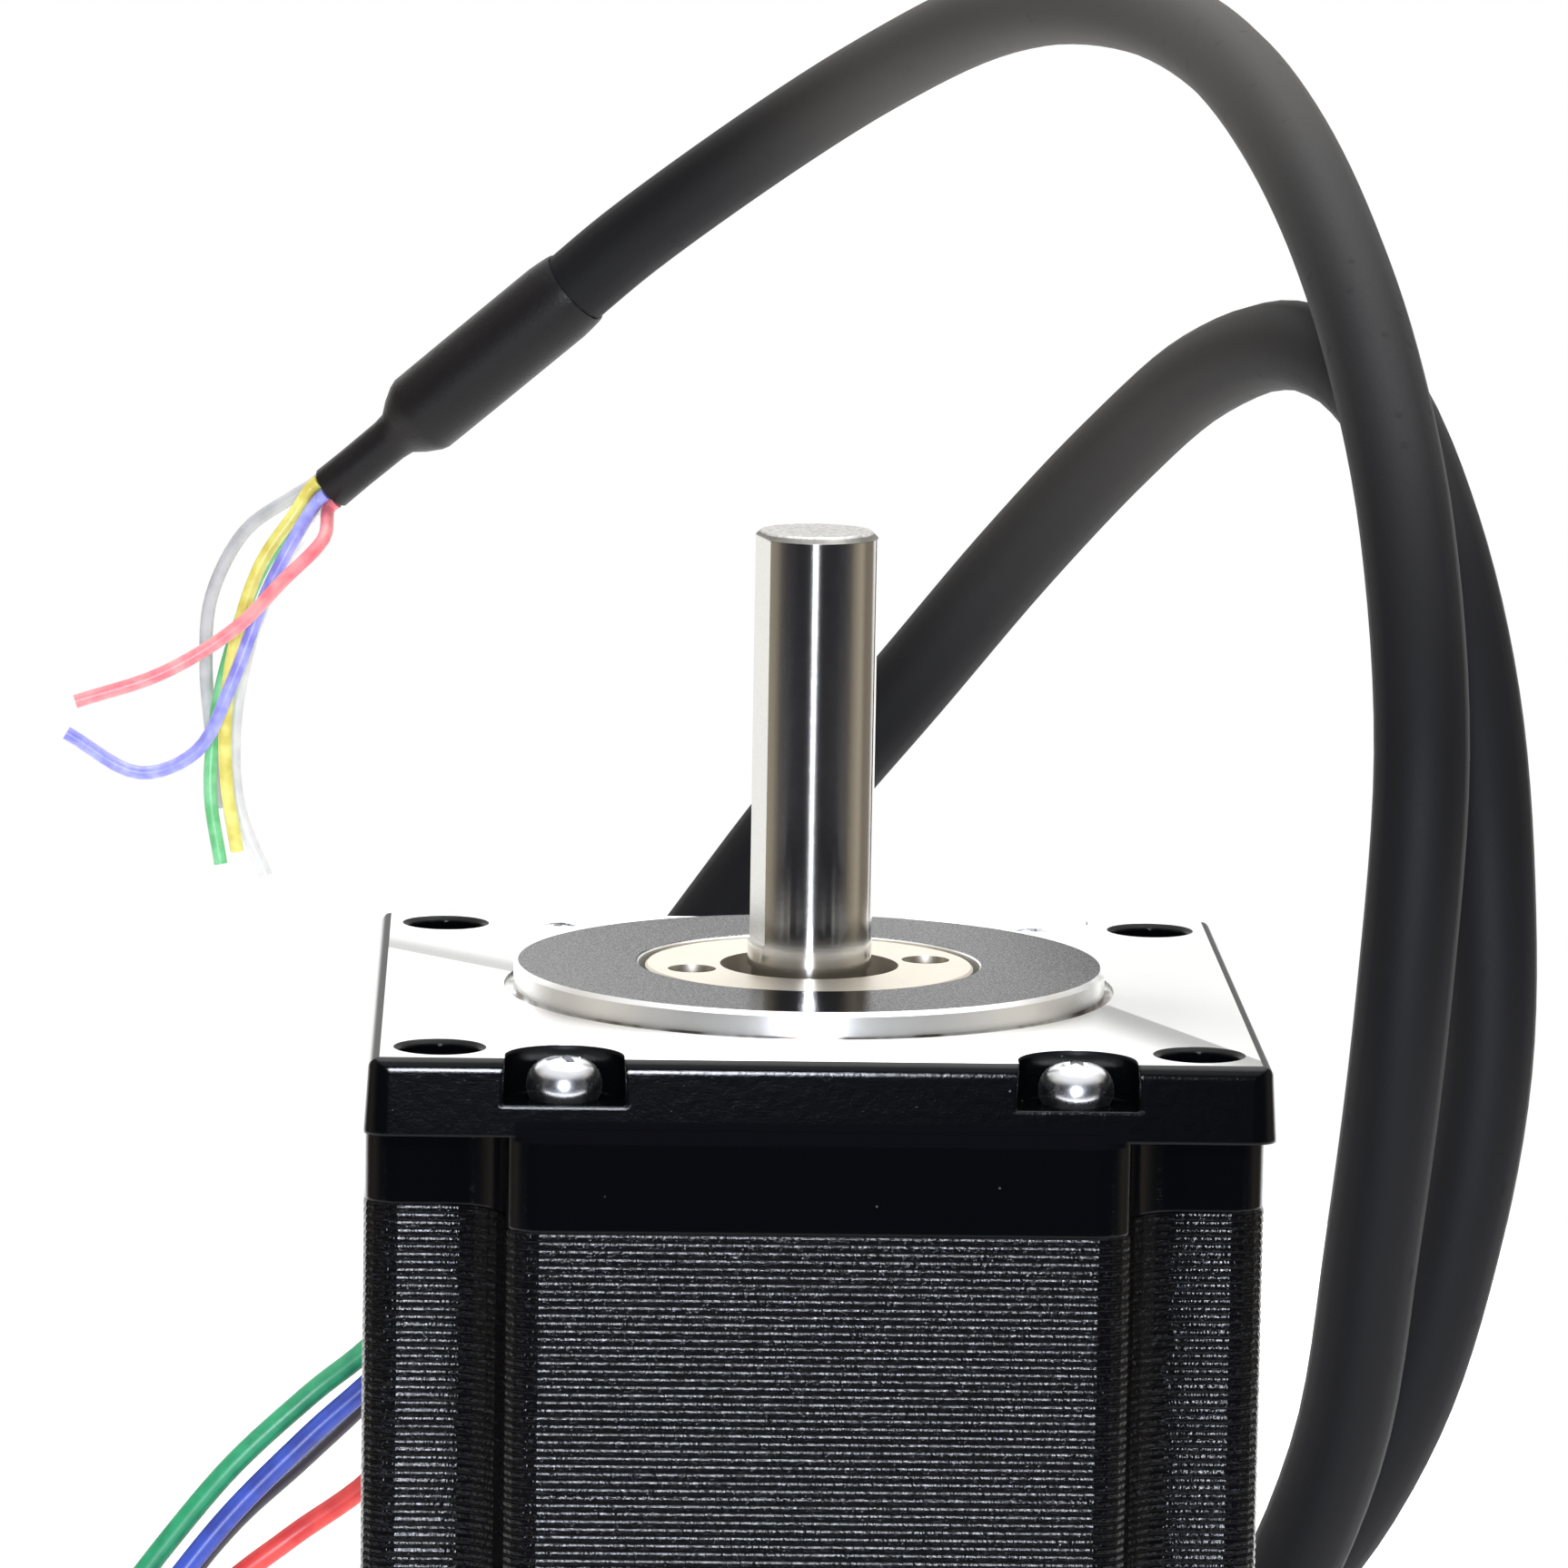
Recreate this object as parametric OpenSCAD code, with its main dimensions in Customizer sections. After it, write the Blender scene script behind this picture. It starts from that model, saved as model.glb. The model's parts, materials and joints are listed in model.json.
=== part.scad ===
// Closed-loop stepper motor of the 57 mm frame size, standing on its rear cover.
// Millimetres. The origin is the centre of the mounting face, on the shaft axis, and
// +Z runs along the output shaft. The two leads leave the rear cover towards +Y.

/* [Body] */
// Side of the square body and flange
body_w = 56.4; // [55.5:0.1:58]
// Height of the front end bell below the mounting face
bell_h = 10.8; // [10.2:0.1:14]
// Thickness of the flange that takes the mounting screws
flange_t = 4.8; // [4.4:0.1:5]
// Length of the lamination stack
stack_l = 54; // [40:0.5:90]
// Height of the rear end bell
rear_bell_h = 11.2; // [10.9:0.1:14]
// Thickness of the rear bell's square end flange
rear_flange_t = 3.5; // [3:0.1:4.5]
// Width of the corner notches
notch_w = 8.85; // [8:0.05:9.2]
// Fillet at the bottom of each corner notch
notch_fillet_r = 3.8; // [2:0.1:4]
// Rounding of the outer edges beside the notches
arm_round_r = 2.15; // [1:0.05:2.5]
// Corner radius of the square flange
flange_corner_r = 1.5; // [1:0.1:2.5]
// Rounding of the flange's front edge, seen beside the machined face
flange_edge_r = 0.8; // [0.4:0.1:1.2]
// Draft of the flange, by which each side leans in on its way to the face
flange_draft = 0.25; // [0:0.05:0.4]
// Thinnest wall of the end bells' skirts
skirt_t = 2; // [1.6:0.1:2.3]
// Wall of the hub round each bearing
hub_wall = 3; // [2:0.1:4.5]

/* [Mounting face] */
// Distance of the mounting holes from the flange's sides
bolt_inset = 4.63; // [4.4:0.01:4.9]
// Radius of the mounting holes
bolt_hole_r = 2.6; // [2.2:0.05:2.8]
// Chamfer at the mouth of the mounting holes
bolt_hole_chamfer = 0.3; // [0.1:0.05:0.4]
// Radius of the centring pilot
pilot_r = 19.05; // [18:0.05:20]
// Height of the pilot above the mounting face
pilot_h = 1.6; // [1.2:0.1:2.4]
// Chamfer on the pilot's rim
pilot_chamfer = 0.3; // [0.1:0.05:0.5]
// Width of the relief groove round the pilot's foot
pilot_groove_w = 0.6; // [0.3:0.1:1]
// Depth of the relief groove
pilot_groove_d = 0.25; // [0.1:0.05:0.5]

/* [Case screws] */
// Distance of the case screws from the side of the nearest notch
screw_side = 3.5; // [3.3:0.05:4.2]
// Distance of the case screws from the body's side
screw_inset = 3.1; // [2.9:0.05:3.3]
// Radius of the screw heads
screw_head_r = 2.35; // [2:0.05:2.5]
// Height of the screw heads
screw_head_h = 2.6; // [2.2:0.05:2.7]
// Radius of the screw shanks
screw_shank_r = 1.45; // [1.2:0.05:1.5]
// Depth of the screw pockets below the mounting face
pocket_d = 2.85; // [2.8:0.05:3.3]
// Half width of the screw pockets
pocket_r = 3.7; // [3:0.1:4]
// Length of the screw pockets, from the body's side
pocket_l = 5.7; // [5.6:0.1:6]
// Rounding of the pocket mouth's side edges
pocket_flare_r = 0.6; // [0.3:0.1:0.9]
// Radial play of the shanks in the stack
screw_play = 0.15; // [0.05:0.05:0.3]
// Angle at which the heads' cross recesses came to rest
screw_turn = 20; // [0:1:89]
// Depth of the tapped holes in the rear bell
screw_grip = 8; // [5:0.5:9]

/* [Output shaft] */
// Radius of the output shaft
shaft_r = 4; // [3.175:0.025:4.2]
// Length of the output shaft above the mounting face
shaft_out = 29.6; // [15:0.1:40]
// Chamfer at the shaft's tip
shaft_chamfer = 0.4; // [0.2:0.1:1]
// How much thinner the output end is ground than the bearing seat
shaft_ease = 0.005; // [0.002:0.001:0.01]
// Depth of the relief between the bearing seat and the output end
shaft_relief = 0.25; // [0.2:0.05:0.4]
// Depth of the flat ground on the shaft
flat_depth = 0.5; // [0.3:0.1:1]
// Height above the mounting face at which the flat begins
flat_start = 3; // [2.5:0.1:8]
// Angle by which the flat is turned towards -Y from -X
flat_turn = 13; // [0:1:45]
// Radius of the shaft inside the rotor
rotor_seat_r = 5.25; // [5:0.05:5.6]
// Radius of the rear journal that carries the encoder
rear_shaft_r = 2.5; // [2:0.1:3]
// Length of the encoder journal behind the rear bearing seat
rear_shaft_l = 11.6; // [9.5:0.1:13]

/* [Bearings] */
// Outer radius of both ball bearings
bearing_r = 11; // [10.8:0.1:11.3]
// Width of both ball bearings
bearing_w = 7; // [6.8:0.05:7.2]
// Radius of the balls
ball_r = 1.984; // [1.8:0.004:2.02]
// Radius of the circle of ball centres
ball_pitch_r = 7.55; // [7.45:0.05:7.65]
// Number of balls in each bearing
ball_count = 7; // [6:1:8]
// Running clearance between the balls and the raceways
ball_play = 0.07; // [0.03:0.01:0.1]
// Outer radius of the inner ring
inner_ring_r = 6.1; // [5.8:0.05:6.3]
// Inner radius of the outer ring
outer_ring_bore_r = 9.1; // [8.9:0.05:9.3]
// Thickness of the shields
shield_t = 0.25; // [0.15:0.05:0.4]
// Depth of the shields below the ring faces
shield_inset = 0.3; // [0.1:0.05:0.5]
// Gap between the shields and the inner ring
shield_gap = 0.4; // [0.3:0.05:0.6]
// Half height of the ball cage
cage_half_h = 2.5; // [2.3:0.05:2.7]
// Half width of the ball cage
cage_half_w = 0.6; // [0.4:0.05:0.8]
// Play between the balls and their cage pockets
cage_play = 0.12; // [0.05:0.01:0.2]
// Play of the bearings in the bells and on the shaft
seat_play = 0.01; // [0.01:0.005:0.03]
// Free height of the wave washer behind the rear bearing
wave_h = 0.9; // [0.7:0.05:1.1]
// Thickness of the wave washer
wave_t = 0.3; // [0.2:0.05:0.4]
// Width of the wave washer's band
wave_band_w = 1.8; // [1.4:0.1:2]
// Number of waves round the washer
wave_count = 3; // [3:1:4]

/* [Front bearing cap] */
// Radius of the cap's visible disc
cap_r = 10.58; // [10.3:0.01:10.7]
// Thickness of the cap
cap_t = 3; // [2.6:0.1:3.4]
// Depth of the cap's face below the top of the pilot
cap_inset = 0.15; // [0.05:0.05:0.4]
// Radius of the shaft hole in the cap
cap_hole_r = 5.75; // [5.6:0.05:6.2]
// Radius of the two spanner holes
spanner_hole_r = 1.55; // [1.2:0.05:1.7]
// Distance of the spanner holes from the centre
spanner_pitch_r = 7.9; // [7.7:0.05:8.1]
// Angle of the line through the spanner holes
spanner_turn = 16; // [0:1:90]
// Height of the cap's threaded rim
cap_thread_h = 1.2; // [0.8:0.1:1.6]

/* [Stator] */
// Thinnest part of the yoke outside the winding slots
yoke_t = 3.2; // [3:0.1:3.3]
// Radial depth of the winding slots, from the bore
slot_depth = 7.5; // [7.3:0.1:7.6]
// Width of each pole's neck
neck_w = 5.5; // [5:0.1:5.8]
// Radial thickness of the pole shoes with their teeth
shoe_t = 2.7; // [2.2:0.1:2.8]
// Angle covered by a pole shoe
shoe_angle = 39.4; // [39.2:0.2:40]
// Teeth on each pole
pole_teeth = 6; // [6:1:6]
// Number of poles
pole_count = 8; // [8:1:8]
// Depth of the stator and rotor teeth
tooth_d = 0.9; // [0.6:0.1:1.1]
// Share of the tooth pitch that a tooth covers
tooth_share = 0.47; // [0.4:0.01:0.5]
// Gap between neighbouring coils at their inner ends
coil_gap = 3; // [2.8:0.1:5]
// Gap between the coils' ends and the rear bell
coil_end_gap = 0.6; // [0.4:0.1:2]
// Radial height of each coil
coil_h = 3.1; // [2.5:0.1:3.2]
// Thickness of the insulator's arms and tabs
insulator_t = 1; // [0.6:0.1:1.1]
// Height of the insulator's tabs above the stack
insulator_h = 5; // [4:0.1:5.2]
// Gap between each tab's edge and the middle of the slot
tab_gap = 1.35; // [1:0.05:2.5]
// Play between the coil and what it is wound on
coil_play = 0.1; // [0.05:0.01:0.2]

/* [Rotor] */
// Air gap between the rotor and stator teeth
air_gap = 0.06; // [0.05:0.01:0.09]
// Number of teeth on each rotor cup
rotor_teeth = 50; // [50:1:50]
// Thickness of each magnet
magnet_t = 2.5; // [1.5:0.1:4]
// Thickness of the spacer between the two rotor halves
spacer_t = 2; // [1:0.1:4]
// Depth of the magnets and spacer below the cups' teeth
magnet_inset = 1.4; // [1:0.1:3]
// How far the rotor stays inside each face of the stack
rotor_inset = 0.5; // [0.2:0.1:2]

/* [Encoder] */
// Radius of the code disc, as a share of the board's side
disc_share = 0.325; // [0.25:0.005:0.35]
// Thickness of the code disc
disc_t = 0.3; // [0.2:0.05:0.6]
// Radius of the disc's hub
hub_disc_r = 5.5; // [5:0.1:6.5]
// Height of the disc's hub
hub_disc_h = 3; // [2.6:0.1:3.4]
// Gap between the rear bell and the hub
hub_gap = 1.2; // [0.8:0.1:1.4]
// Radius of the hub's set screw
set_screw_r = 0.75; // [0.6:0.05:0.9]
// Side of the circuit board, as a share of the body's side
board_share = 0.71; // [0.65:0.01:0.72]
// Thickness of the circuit board
board_t = 1.6; // [1:0.1:2]
// Corner radius of the circuit board
board_corner_r = 3; // [2:0.5:4]
// Radius of the shaft hole in the circuit board
board_hole_r = 4.2; // [3.6:0.1:5]
// Length of the standoffs under the circuit board
standoff_l = 8; // [7.6:0.1:8.6]
// Radius of the hexagonal standoffs
standoff_r = 2.4; // [2.2:0.1:2.8]
// Distance of the standoffs from both centre lines, as a share of the board's side
standoff_share = 0.387; // [0.37:0.001:0.4]
// Shank radius of the board screws
board_screw_r = 1.2; // [1:0.05:1.4]
// Head radius of the board screws
board_screw_head_r = 2.1; // [1.8:0.1:2.4]
// Head height of the board screws
board_screw_head_h = 1.5; // [1.2:0.1:1.8]
// Length of the board screws below the head
board_screw_l = 5; // [4:0.5:6]
// Width of the read head along the board
head_w = 9; // [7:0.5:11]
// Depth of the read head
head_d = 6; // [5:0.5:7]
// Height of the read head
head_h = 2.6; // [2:0.1:2.9]
// Distance of the read head from the shaft axis, as a share of the disc's radius
head_share = 0.81; // [0.75:0.01:0.85]
// Width of the cable header
header_w = 15; // [12:0.5:18]
// Depth of the cable header
header_d = 6; // [5:0.5:6.5]
// Room for the leads between the header and the cover's floor
header_clear = 3.7; // [3:0.1:6]
// Number of contacts in the cable header
header_pins = 6; // [4:1:8]
// Wall of the header's socket
header_wall = 0.9; // [0.6:0.1:1.2]
// Side of the square signal chip
chip_w = 7; // [5:0.5:8]
// Height of the chips
chip_h = 1.4; // [0.8:0.1:2]

/* [Rear cover] */
// Height of the rear cover
cover_h = 22; // [21:0.5:30]
// Wall of the rear cover
cover_wall = 2.2; // [1.8:0.1:2.6]
// Thickness of the rear cover's floor
cover_floor_t = 2.6; // [2:0.1:3.4]
// Corner radius of the rear cover
cover_corner_r = 3; // [2:0.1:4]
// Rounding of the rear cover's lower edge
cover_edge_r = 1; // [0.6:0.1:1.6]
// Radius of the screw posts in the cover's corners
post_r = 4.2; // [4:0.1:4.6]
// Radius of the cover screws' shanks
cover_screw_r = 1.45; // [1.2:0.05:1.5]
// Radius of the cover screws' heads
cover_screw_head_r = 2.7; // [2.4:0.05:2.75]
// Height of the cover screws' heads
cover_screw_head_h = 2.2; // [1.8:0.1:2.4]
// Radius of the recess round each cover screw
recess_r = 3.1; // [3:0.05:3.3]
// Depth of the recess round each cover screw
recess_d = 3; // [2.8:0.1:3.8]
// Radial play of the cover screws in their posts
cover_screw_play = 0.15; // [0.05:0.05:0.3]

/* [Cables] */
// Radius of both cables
cable_r = 3.4; // [3:0.1:3.6]
// Distance of each cable outlet from the middle, as a share of the cover's side
outlet_share = 0.16; // [0.14:0.005:0.21]
// Height of the cable outlets above the base
outlet_h = 11; // [9:0.5:12]
// Radius of the outlet holes in the cover
outlet_r = 4.95; // [4.6:0.05:5.4]
// Play of the boots' necks in the outlet holes
outlet_play = 0.05; // [0.02:0.01:0.1]
// How far the rubber boots stand out of the cover
boot_out = 13.8; // [12:0.1:13.8]
// Radius of the boots' inner and outer collars
boot_collar_r = 6.5; // [6:0.1:7]
// Thickness of the boots' collars
boot_collar_t = 1.6; // [1:0.1:2]
// Radius of the boots at the collar
boot_base_r = 5.4; // [5:0.1:5.8]
// Radius of the boots at the cable
boot_tip_r = 4.3; // [4:0.1:4.6]
// Number of grooves that let each boot bend
boot_grooves = 5; // [3:1:6]
// Depth of those grooves below the ribs between them
boot_groove_d = 0.7; // [0.4:0.05:0.8]
// Radius of the shrink sleeves over the cable ends
sleeve_r = 3.8; // [3.5:0.1:4.2]
// Length over which a sleeve necks down
sleeve_taper_l = 2.5; // [1.5:0.5:4]
// Length of each sleeve's neck over the bare wires
sleeve_neck_l = 8; // [4:0.5:9]
// Neck radius of the sleeve on the encoder cable
encoder_neck_r = 2; // [1.9:0.05:2.4]
// Neck radius of the sleeve on the motor cable
motor_neck_r = 2.5; // [2.3:0.05:3]
// Radius of the encoder wires
encoder_wire_r = 0.6; // [0.4:0.05:0.62]
// Radius of the motor wires
motor_wire_r = 0.88; // [0.7:0.02:0.92]
// Gap between a cable's parts where they meet
cable_gap = 0.15; // [0.1:0.05:0.3]

/* [Hidden] */
$fn = 96;

// Overrun of every cut past the face it starts from
cut = 0.5;

// Plan sizes that follow the body's side
half_w = body_w / 2;
arm_w = body_w - 2 * notch_w;
hole_d = half_w - bolt_inset;
cavity_r = half_w - skirt_t;
hub_r = bearing_r + hub_wall;
screw_x = arm_w / 2 - screw_side;
screw_y = half_w - screw_inset;
pocket_end_y = half_w - pocket_l;
board_w = board_share * body_w;
standoff_d = standoff_share * board_w;
disc_r = disc_share * board_w;
head_y = head_share * disc_r;
outlet_x = outlet_share * body_w;

// Heights along the axis, from the mounting face down to the base
stack_z = -bell_h;
rear_bell_z = stack_z - stack_l;
bell_end_z = rear_bell_z - rear_bell_h;
base_z = bell_end_z - cover_h;

// Bearings and shaft shoulders
cap_top_z = pilot_h - cap_inset;
front_bearing_z = cap_top_z - cap_t - wave_t / 6;
front_hub_h = bearing_w + seat_play * 60;
rear_wall_t = 1.3 / 3.5 * rear_flange_t;
washer_z = bell_end_z + rear_wall_t;
rear_bearing_z = washer_z + wave_h + bearing_w;
shoulder_gap = 5 * seat_play;
front_shoulder_z = front_bearing_z - bearing_w - shoulder_gap;
rear_shoulder_z = rear_bearing_z + shoulder_gap;
journal_z = bell_end_z + rear_wall_t - shoulder_gap;
raceway_r = ball_r + ball_play;

// Stator and rotor
slot_r = half_w - yoke_t;
bore_r = slot_r - slot_depth;
coil_r = bore_r + shoe_t + 2 * coil_play;
coil_room = rear_bell_h - rear_flange_t - 3 * insulator_t - coil_play - coil_end_gap;
coil_t = min(coil_room, coil_r * tan(180 / pole_count) - neck_w / 2 - 2 * coil_play
                        - coil_gap / 2);
rotor_r = bore_r - air_gap;
rotor_z = stack_z - rotor_inset;
rotor_l = stack_l - 2 * rotor_inset;
cup_l = (rotor_l - 2 * magnet_t - spacer_t) / 4;
tooth_pitch = 360 / rotor_teeth;
magnet_1_z = rotor_z - cup_l;
spacer_z = magnet_1_z - magnet_t - cup_l;
magnet_2_z = spacer_z - spacer_t - cup_l;

// Encoder
hub_z = bell_end_z - hub_gap;
disc_z = hub_z - hub_disc_h;
board_z = bell_end_z - standoff_l;
board_back_z = board_z - board_t;
header_h = board_back_z - base_z - cover_wall - header_clear;

// Cables
outlet_z = base_z + outlet_h;
cable_sides = 10;
wire_sides = 8;

// Routes of the two cables and of their loose wires, chosen by hand
encoder_route = [
    [9, 42, -87], [9, 48, -87], [13, 60, -83], [23, 68.5, -73.5], [34.5, 68.5, -60.5],
    [40.5, 63.5, -45], [42.5, 59.5, -28], [44, 57, -10], [45, 59, 7], [44.5, 68.5, 21.5],
    [43, 83, 32.5], [41, 99.5, 40.5], [38.5, 116.5, 46.5], [35.5, 133.5, 50.5],
    [31.5, 150.5, 52.5], [26, 167.5, 52.5], [19.5, 184, 50], [11.5, 199, 44.5],
    [2, 212, 37], [-9.5, 221.5, 27.5], [-15, 224, 22.5]
];
encoder_end = [-35.5, 230.5, 4.5];
motor_route = [
    [-9, 42, -87], [-9, 48, -87], [-6.5, 58.5, -86], [-2, 67, -83.5], [7.5, 75, -79],
    [19, 79.5, -73], [30, 80, -65.5], [40, 78, -56], [46, 74.5, -44.5], [49.5, 72.5, -31.5],
    [51.5, 72, -18], [51.5, 73.5, -4.5], [50.5, 78, 8.5], [48, 84.5, 20], [44.5, 94.5, 28.5],
    [39.5, 106.5, 31], [33.5, 118.5, 27.5], [27.5, 128, 20.5], [20, 134.5, 11], [12, 138, 0.5],
    [3.5, 139, -10], [-5, 138, -21.5]
];
motor_end = [-20, 134.5, -40.5];
yellow_route = [
    [-38.5, 229.5, 2.5], [-41.5, 229, -2], [-43.5, 229, -8], [-44.5, 229.5, -14.5],
    [-44.5, 230, -21.5], [-43.5, 230.5, -28]
];
grey_route = [
    [-39, 231.5, 3.5], [-43, 232, 0.5], [-46, 233, -5.5], [-46.5, 234.5, -12],
    [-46, 236, -18.5], [-45.5, 236, -25]
];
green_route = [
    [-38.5, 233, 1.5], [-41.5, 234, -3], [-44, 234.5, -9.5], [-45.5, 234, -16], [-46, 233, -23],
    [-45, 232.5, -29.5]
];
white_route = [
    [-38, 234, 0], [-41, 236, -5.5], [-43, 236.5, -11.5], [-44, 236.5, -18.5],
    [-43.5, 236, -25], [-41, 235, -31]
];
blue_route = [
    [-38.5, 228, 0.5], [-41, 227.5, -4.5], [-44, 226.5, -12.5], [-47, 226.5, -18.5],
    [-52, 226.5, -20.5], [-58.5, 226.5, -17]
];
red_route = [
    [-36, 226.5, 0.5], [-39.5, 224.5, -3], [-43.5, 223, -7], [-50, 222, -11],
    [-57.5, 221.5, -13.5]
];
motor_green_route = [
    [-25, 133.5, -44], [-29, 132, -51], [-34.5, 130.5, -55.5], [-40.5, 129.5, -61],
    [-45.5, 129, -67], [-50, 128.5, -73]
];
motor_blue_route = [
    [-23.5, 131.5, -45], [-28, 130.5, -52.5], [-34.5, 129, -58.5], [-40.5, 128, -64.5],
    [-45, 127, -70], [-49, 126, -75.5]
];
motor_black_route = [
    [-23, 136.5, -46], [-28.5, 136, -55], [-35, 135, -61.5], [-40.5, 134, -66.5],
    [-44.5, 133.5, -71.5], [-47.5, 133, -77.5]
];
motor_red_route = [
    [-21.5, 134.5, -47], [-24.5, 134, -56], [-29.5, 132, -62.5], [-36, 130, -67],
    [-41.5, 129.5, -71.5], [-45, 129.5, -77.5]
];

// Plan of a rounded rectangle, drawn from true arcs
module rounded_rect(w, d, r) {
    square([w, d - 2 * r], center = true);
    square([w - 2 * r, d], center = true);
    for (x = [-1, 1], y = [-1, 1])
        translate([x * (w / 2 - r), y * (d / 2 - r)]) circle(r = r);
}

// One copy of the children at each of the four places (x, y), (-x, y) and so on
module at_four(x, y) {
    for (i = [-1, 1], j = [-1, 1])
        translate([i * x, j * y]) children();
}

// A square block from z down over h, its lower or upper outer edge rounded by edge_r;
// its sides lean in by draft on their way to that edge, and its corners with them
module edged_block(w, h, corner_r, edge_r, draft, top) {
    turn = top ? 0 : 180;
    flat_w = w - 2 * corner_r;
    translate([0, 0, top ? 0 : -h])
        rotate([turn, 0, 0]) intersection() {
            translate([0, 0, -h]) {
                linear_extrude(h) {
                    square([w, flat_w], center = true);
                    square([flat_w, w], center = true);
                }
                at_four(flat_w / 2, flat_w / 2)
                    cylinder(r1 = corner_r, r2 = corner_r - draft * h / (h - edge_r), h = h);
            }
            rotate([90, 0, 0]) edge_profile(w, h, edge_r, draft);
            rotate([90, 0, 90]) edge_profile(w, h, edge_r, draft);
        }
}

// Side view of that block, extruded right through it
module edge_profile(w, h, edge_r, draft) {
    half_top = w / 2 - draft;
    translate([0, 0, -w]) linear_extrude(2 * w) {
        polygon([[-w / 2, -h], [w / 2, -h], [half_top, -edge_r], [-half_top, -edge_r]]);
        translate([edge_r - half_top, -h]) square([2 * (half_top - edge_r), h]);
        for (x = [-1, 1])
            translate([x * (half_top - edge_r), -edge_r]) circle(r = edge_r);
    }
}

// Plan of the laminations and of both bells' skirts: a square with notched corners
module stack_outline() {
    rounded_rect(body_w, arm_w, arm_round_r);
    rounded_rect(arm_w, body_w, arm_round_r);
    for (a = [0 : 90 : 270])
        rotate(a) translate([arm_w / 2, arm_w / 2]) difference() {
            translate([-cut, -cut]) square(notch_fillet_r + cut);
            translate([notch_fillet_r, notch_fillet_r]) circle(r = notch_fillet_r);
        }
}

// Plan of one screw pocket, open towards +Y
module pocket_outline() {
    mid_y = pocket_end_y + pocket_r;
    translate([0, mid_y]) circle(r = pocket_r);
    translate([-pocket_r, mid_y]) square([2 * pocket_r, half_w - mid_y + cut]);
    for (x = [-1, 1])
        translate([x * (pocket_r + pocket_flare_r), half_w - pocket_flare_r])
            difference() {
                translate([-pocket_flare_r, 0])
                    square([2 * pocket_flare_r, pocket_flare_r + cut]);
                circle(r = pocket_flare_r);
                translate([x > 0 ? 0 : -pocket_flare_r - cut, -cut])
                    square([pocket_flare_r + cut, pocket_flare_r + 2 * cut + cut]);
            }
}

// Space round a bell's hub, taken out of its skirt; it opens towards -Z
module bell_cavity(depth, hub_depth) {
    difference() {
        translate([0, 0, -cut]) cylinder(r = cavity_r, h = depth + cut);
        translate([0, 0, depth - hub_depth]) cylinder(r = hub_r, h = hub_depth + cut);
    }
}

module front_end_bell() {
    color("#1a1b1e") difference() {
        union() {
            edged_block(body_w, flange_t, flange_corner_r, flange_edge_r, flange_draft,
                        true);
            translate([0, 0, -bell_h]) linear_extrude(bell_h - flange_t + cut)
                stack_outline();
            translate([0, 0, -flange_t])
                cylinder(r = pilot_r, h = flange_t + pilot_h - pilot_chamfer);
            translate([0, 0, pilot_h - pilot_chamfer])
                cylinder(r1 = pilot_r, r2 = pilot_r - pilot_chamfer, h = pilot_chamfer);
        }
        translate([0, 0, -bell_h])
            bell_cavity(bell_h - flange_t, -front_bearing_z + front_hub_h - flange_t);
        // Bearing bore, with a chamfer at its front
        translate([0, 0, -bell_h - cut])
            cylinder(r = bearing_r + seat_play, h = bell_h + pilot_h + 2 * cut);
        translate([0, 0, pilot_h - pilot_chamfer / 2])
            cylinder(r1 = bearing_r + seat_play,
                     r2 = bearing_r + seat_play + pilot_chamfer / 2 + cut,
                     h = pilot_chamfer / 2 + cut);
        // Relief groove round the pilot
        translate([0, 0, -pilot_groove_d]) difference() {
            cylinder(r = pilot_r + pilot_groove_w, h = pilot_groove_d + cut);
            translate([0, 0, -cut]) cylinder(r = pilot_r, h = pilot_groove_d + 3 * cut);
        }
        at_four(hole_d, hole_d) {
            translate([0, 0, -flange_t - cut])
                cylinder(r = bolt_hole_r, h = flange_t + 2 * cut);
            translate([0, 0, -bolt_hole_chamfer])
                cylinder(r1 = bolt_hole_r, r2 = bolt_hole_r + bolt_hole_chamfer + cut,
                         h = bolt_hole_chamfer + cut);
        }
        at_four(screw_x, screw_y)
            translate([0, 0, -bell_h - cut])
                cylinder(r = screw_shank_r + screw_play, h = bell_h);
        for (x = [-1, 1], a = [0, 180])
            rotate(a) translate([x * screw_x, 0, -pocket_d])
                linear_extrude(pocket_d + cut) pocket_outline();
    }
}

// Threaded cap that holds the front bearing, with two holes for a pin spanner
module front_bearing_cap() {
    rim = pilot_chamfer / 2;
    color("#d9d9d4") translate([0, 0, cap_top_z - cap_t]) difference() {
        union() {
            cylinder(r = bearing_r - seat_play, h = cap_thread_h);
            cylinder(r = cap_r, h = cap_t - rim);
            translate([0, 0, cap_t - rim]) cylinder(r1 = cap_r, r2 = cap_r - rim, h = rim);
        }
        translate([0, 0, -cut]) cylinder(r = cap_hole_r, h = cap_t + 2 * cut);
        rotate(spanner_turn)
            for (x = [-1, 1])
                translate([x * spanner_pitch_r, 0, -cut])
                    cylinder(r = spanner_hole_r, h = cap_t + 2 * cut);
    }
}

// Wedge of a disc, symmetric about +X
module wedge(r, angle) {
    polygon([[0, 0],
             for (k = [-2 : 2]) 1.2 * r * [cos(k * angle / 4), sin(k * angle / 4)]]);
}

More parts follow.
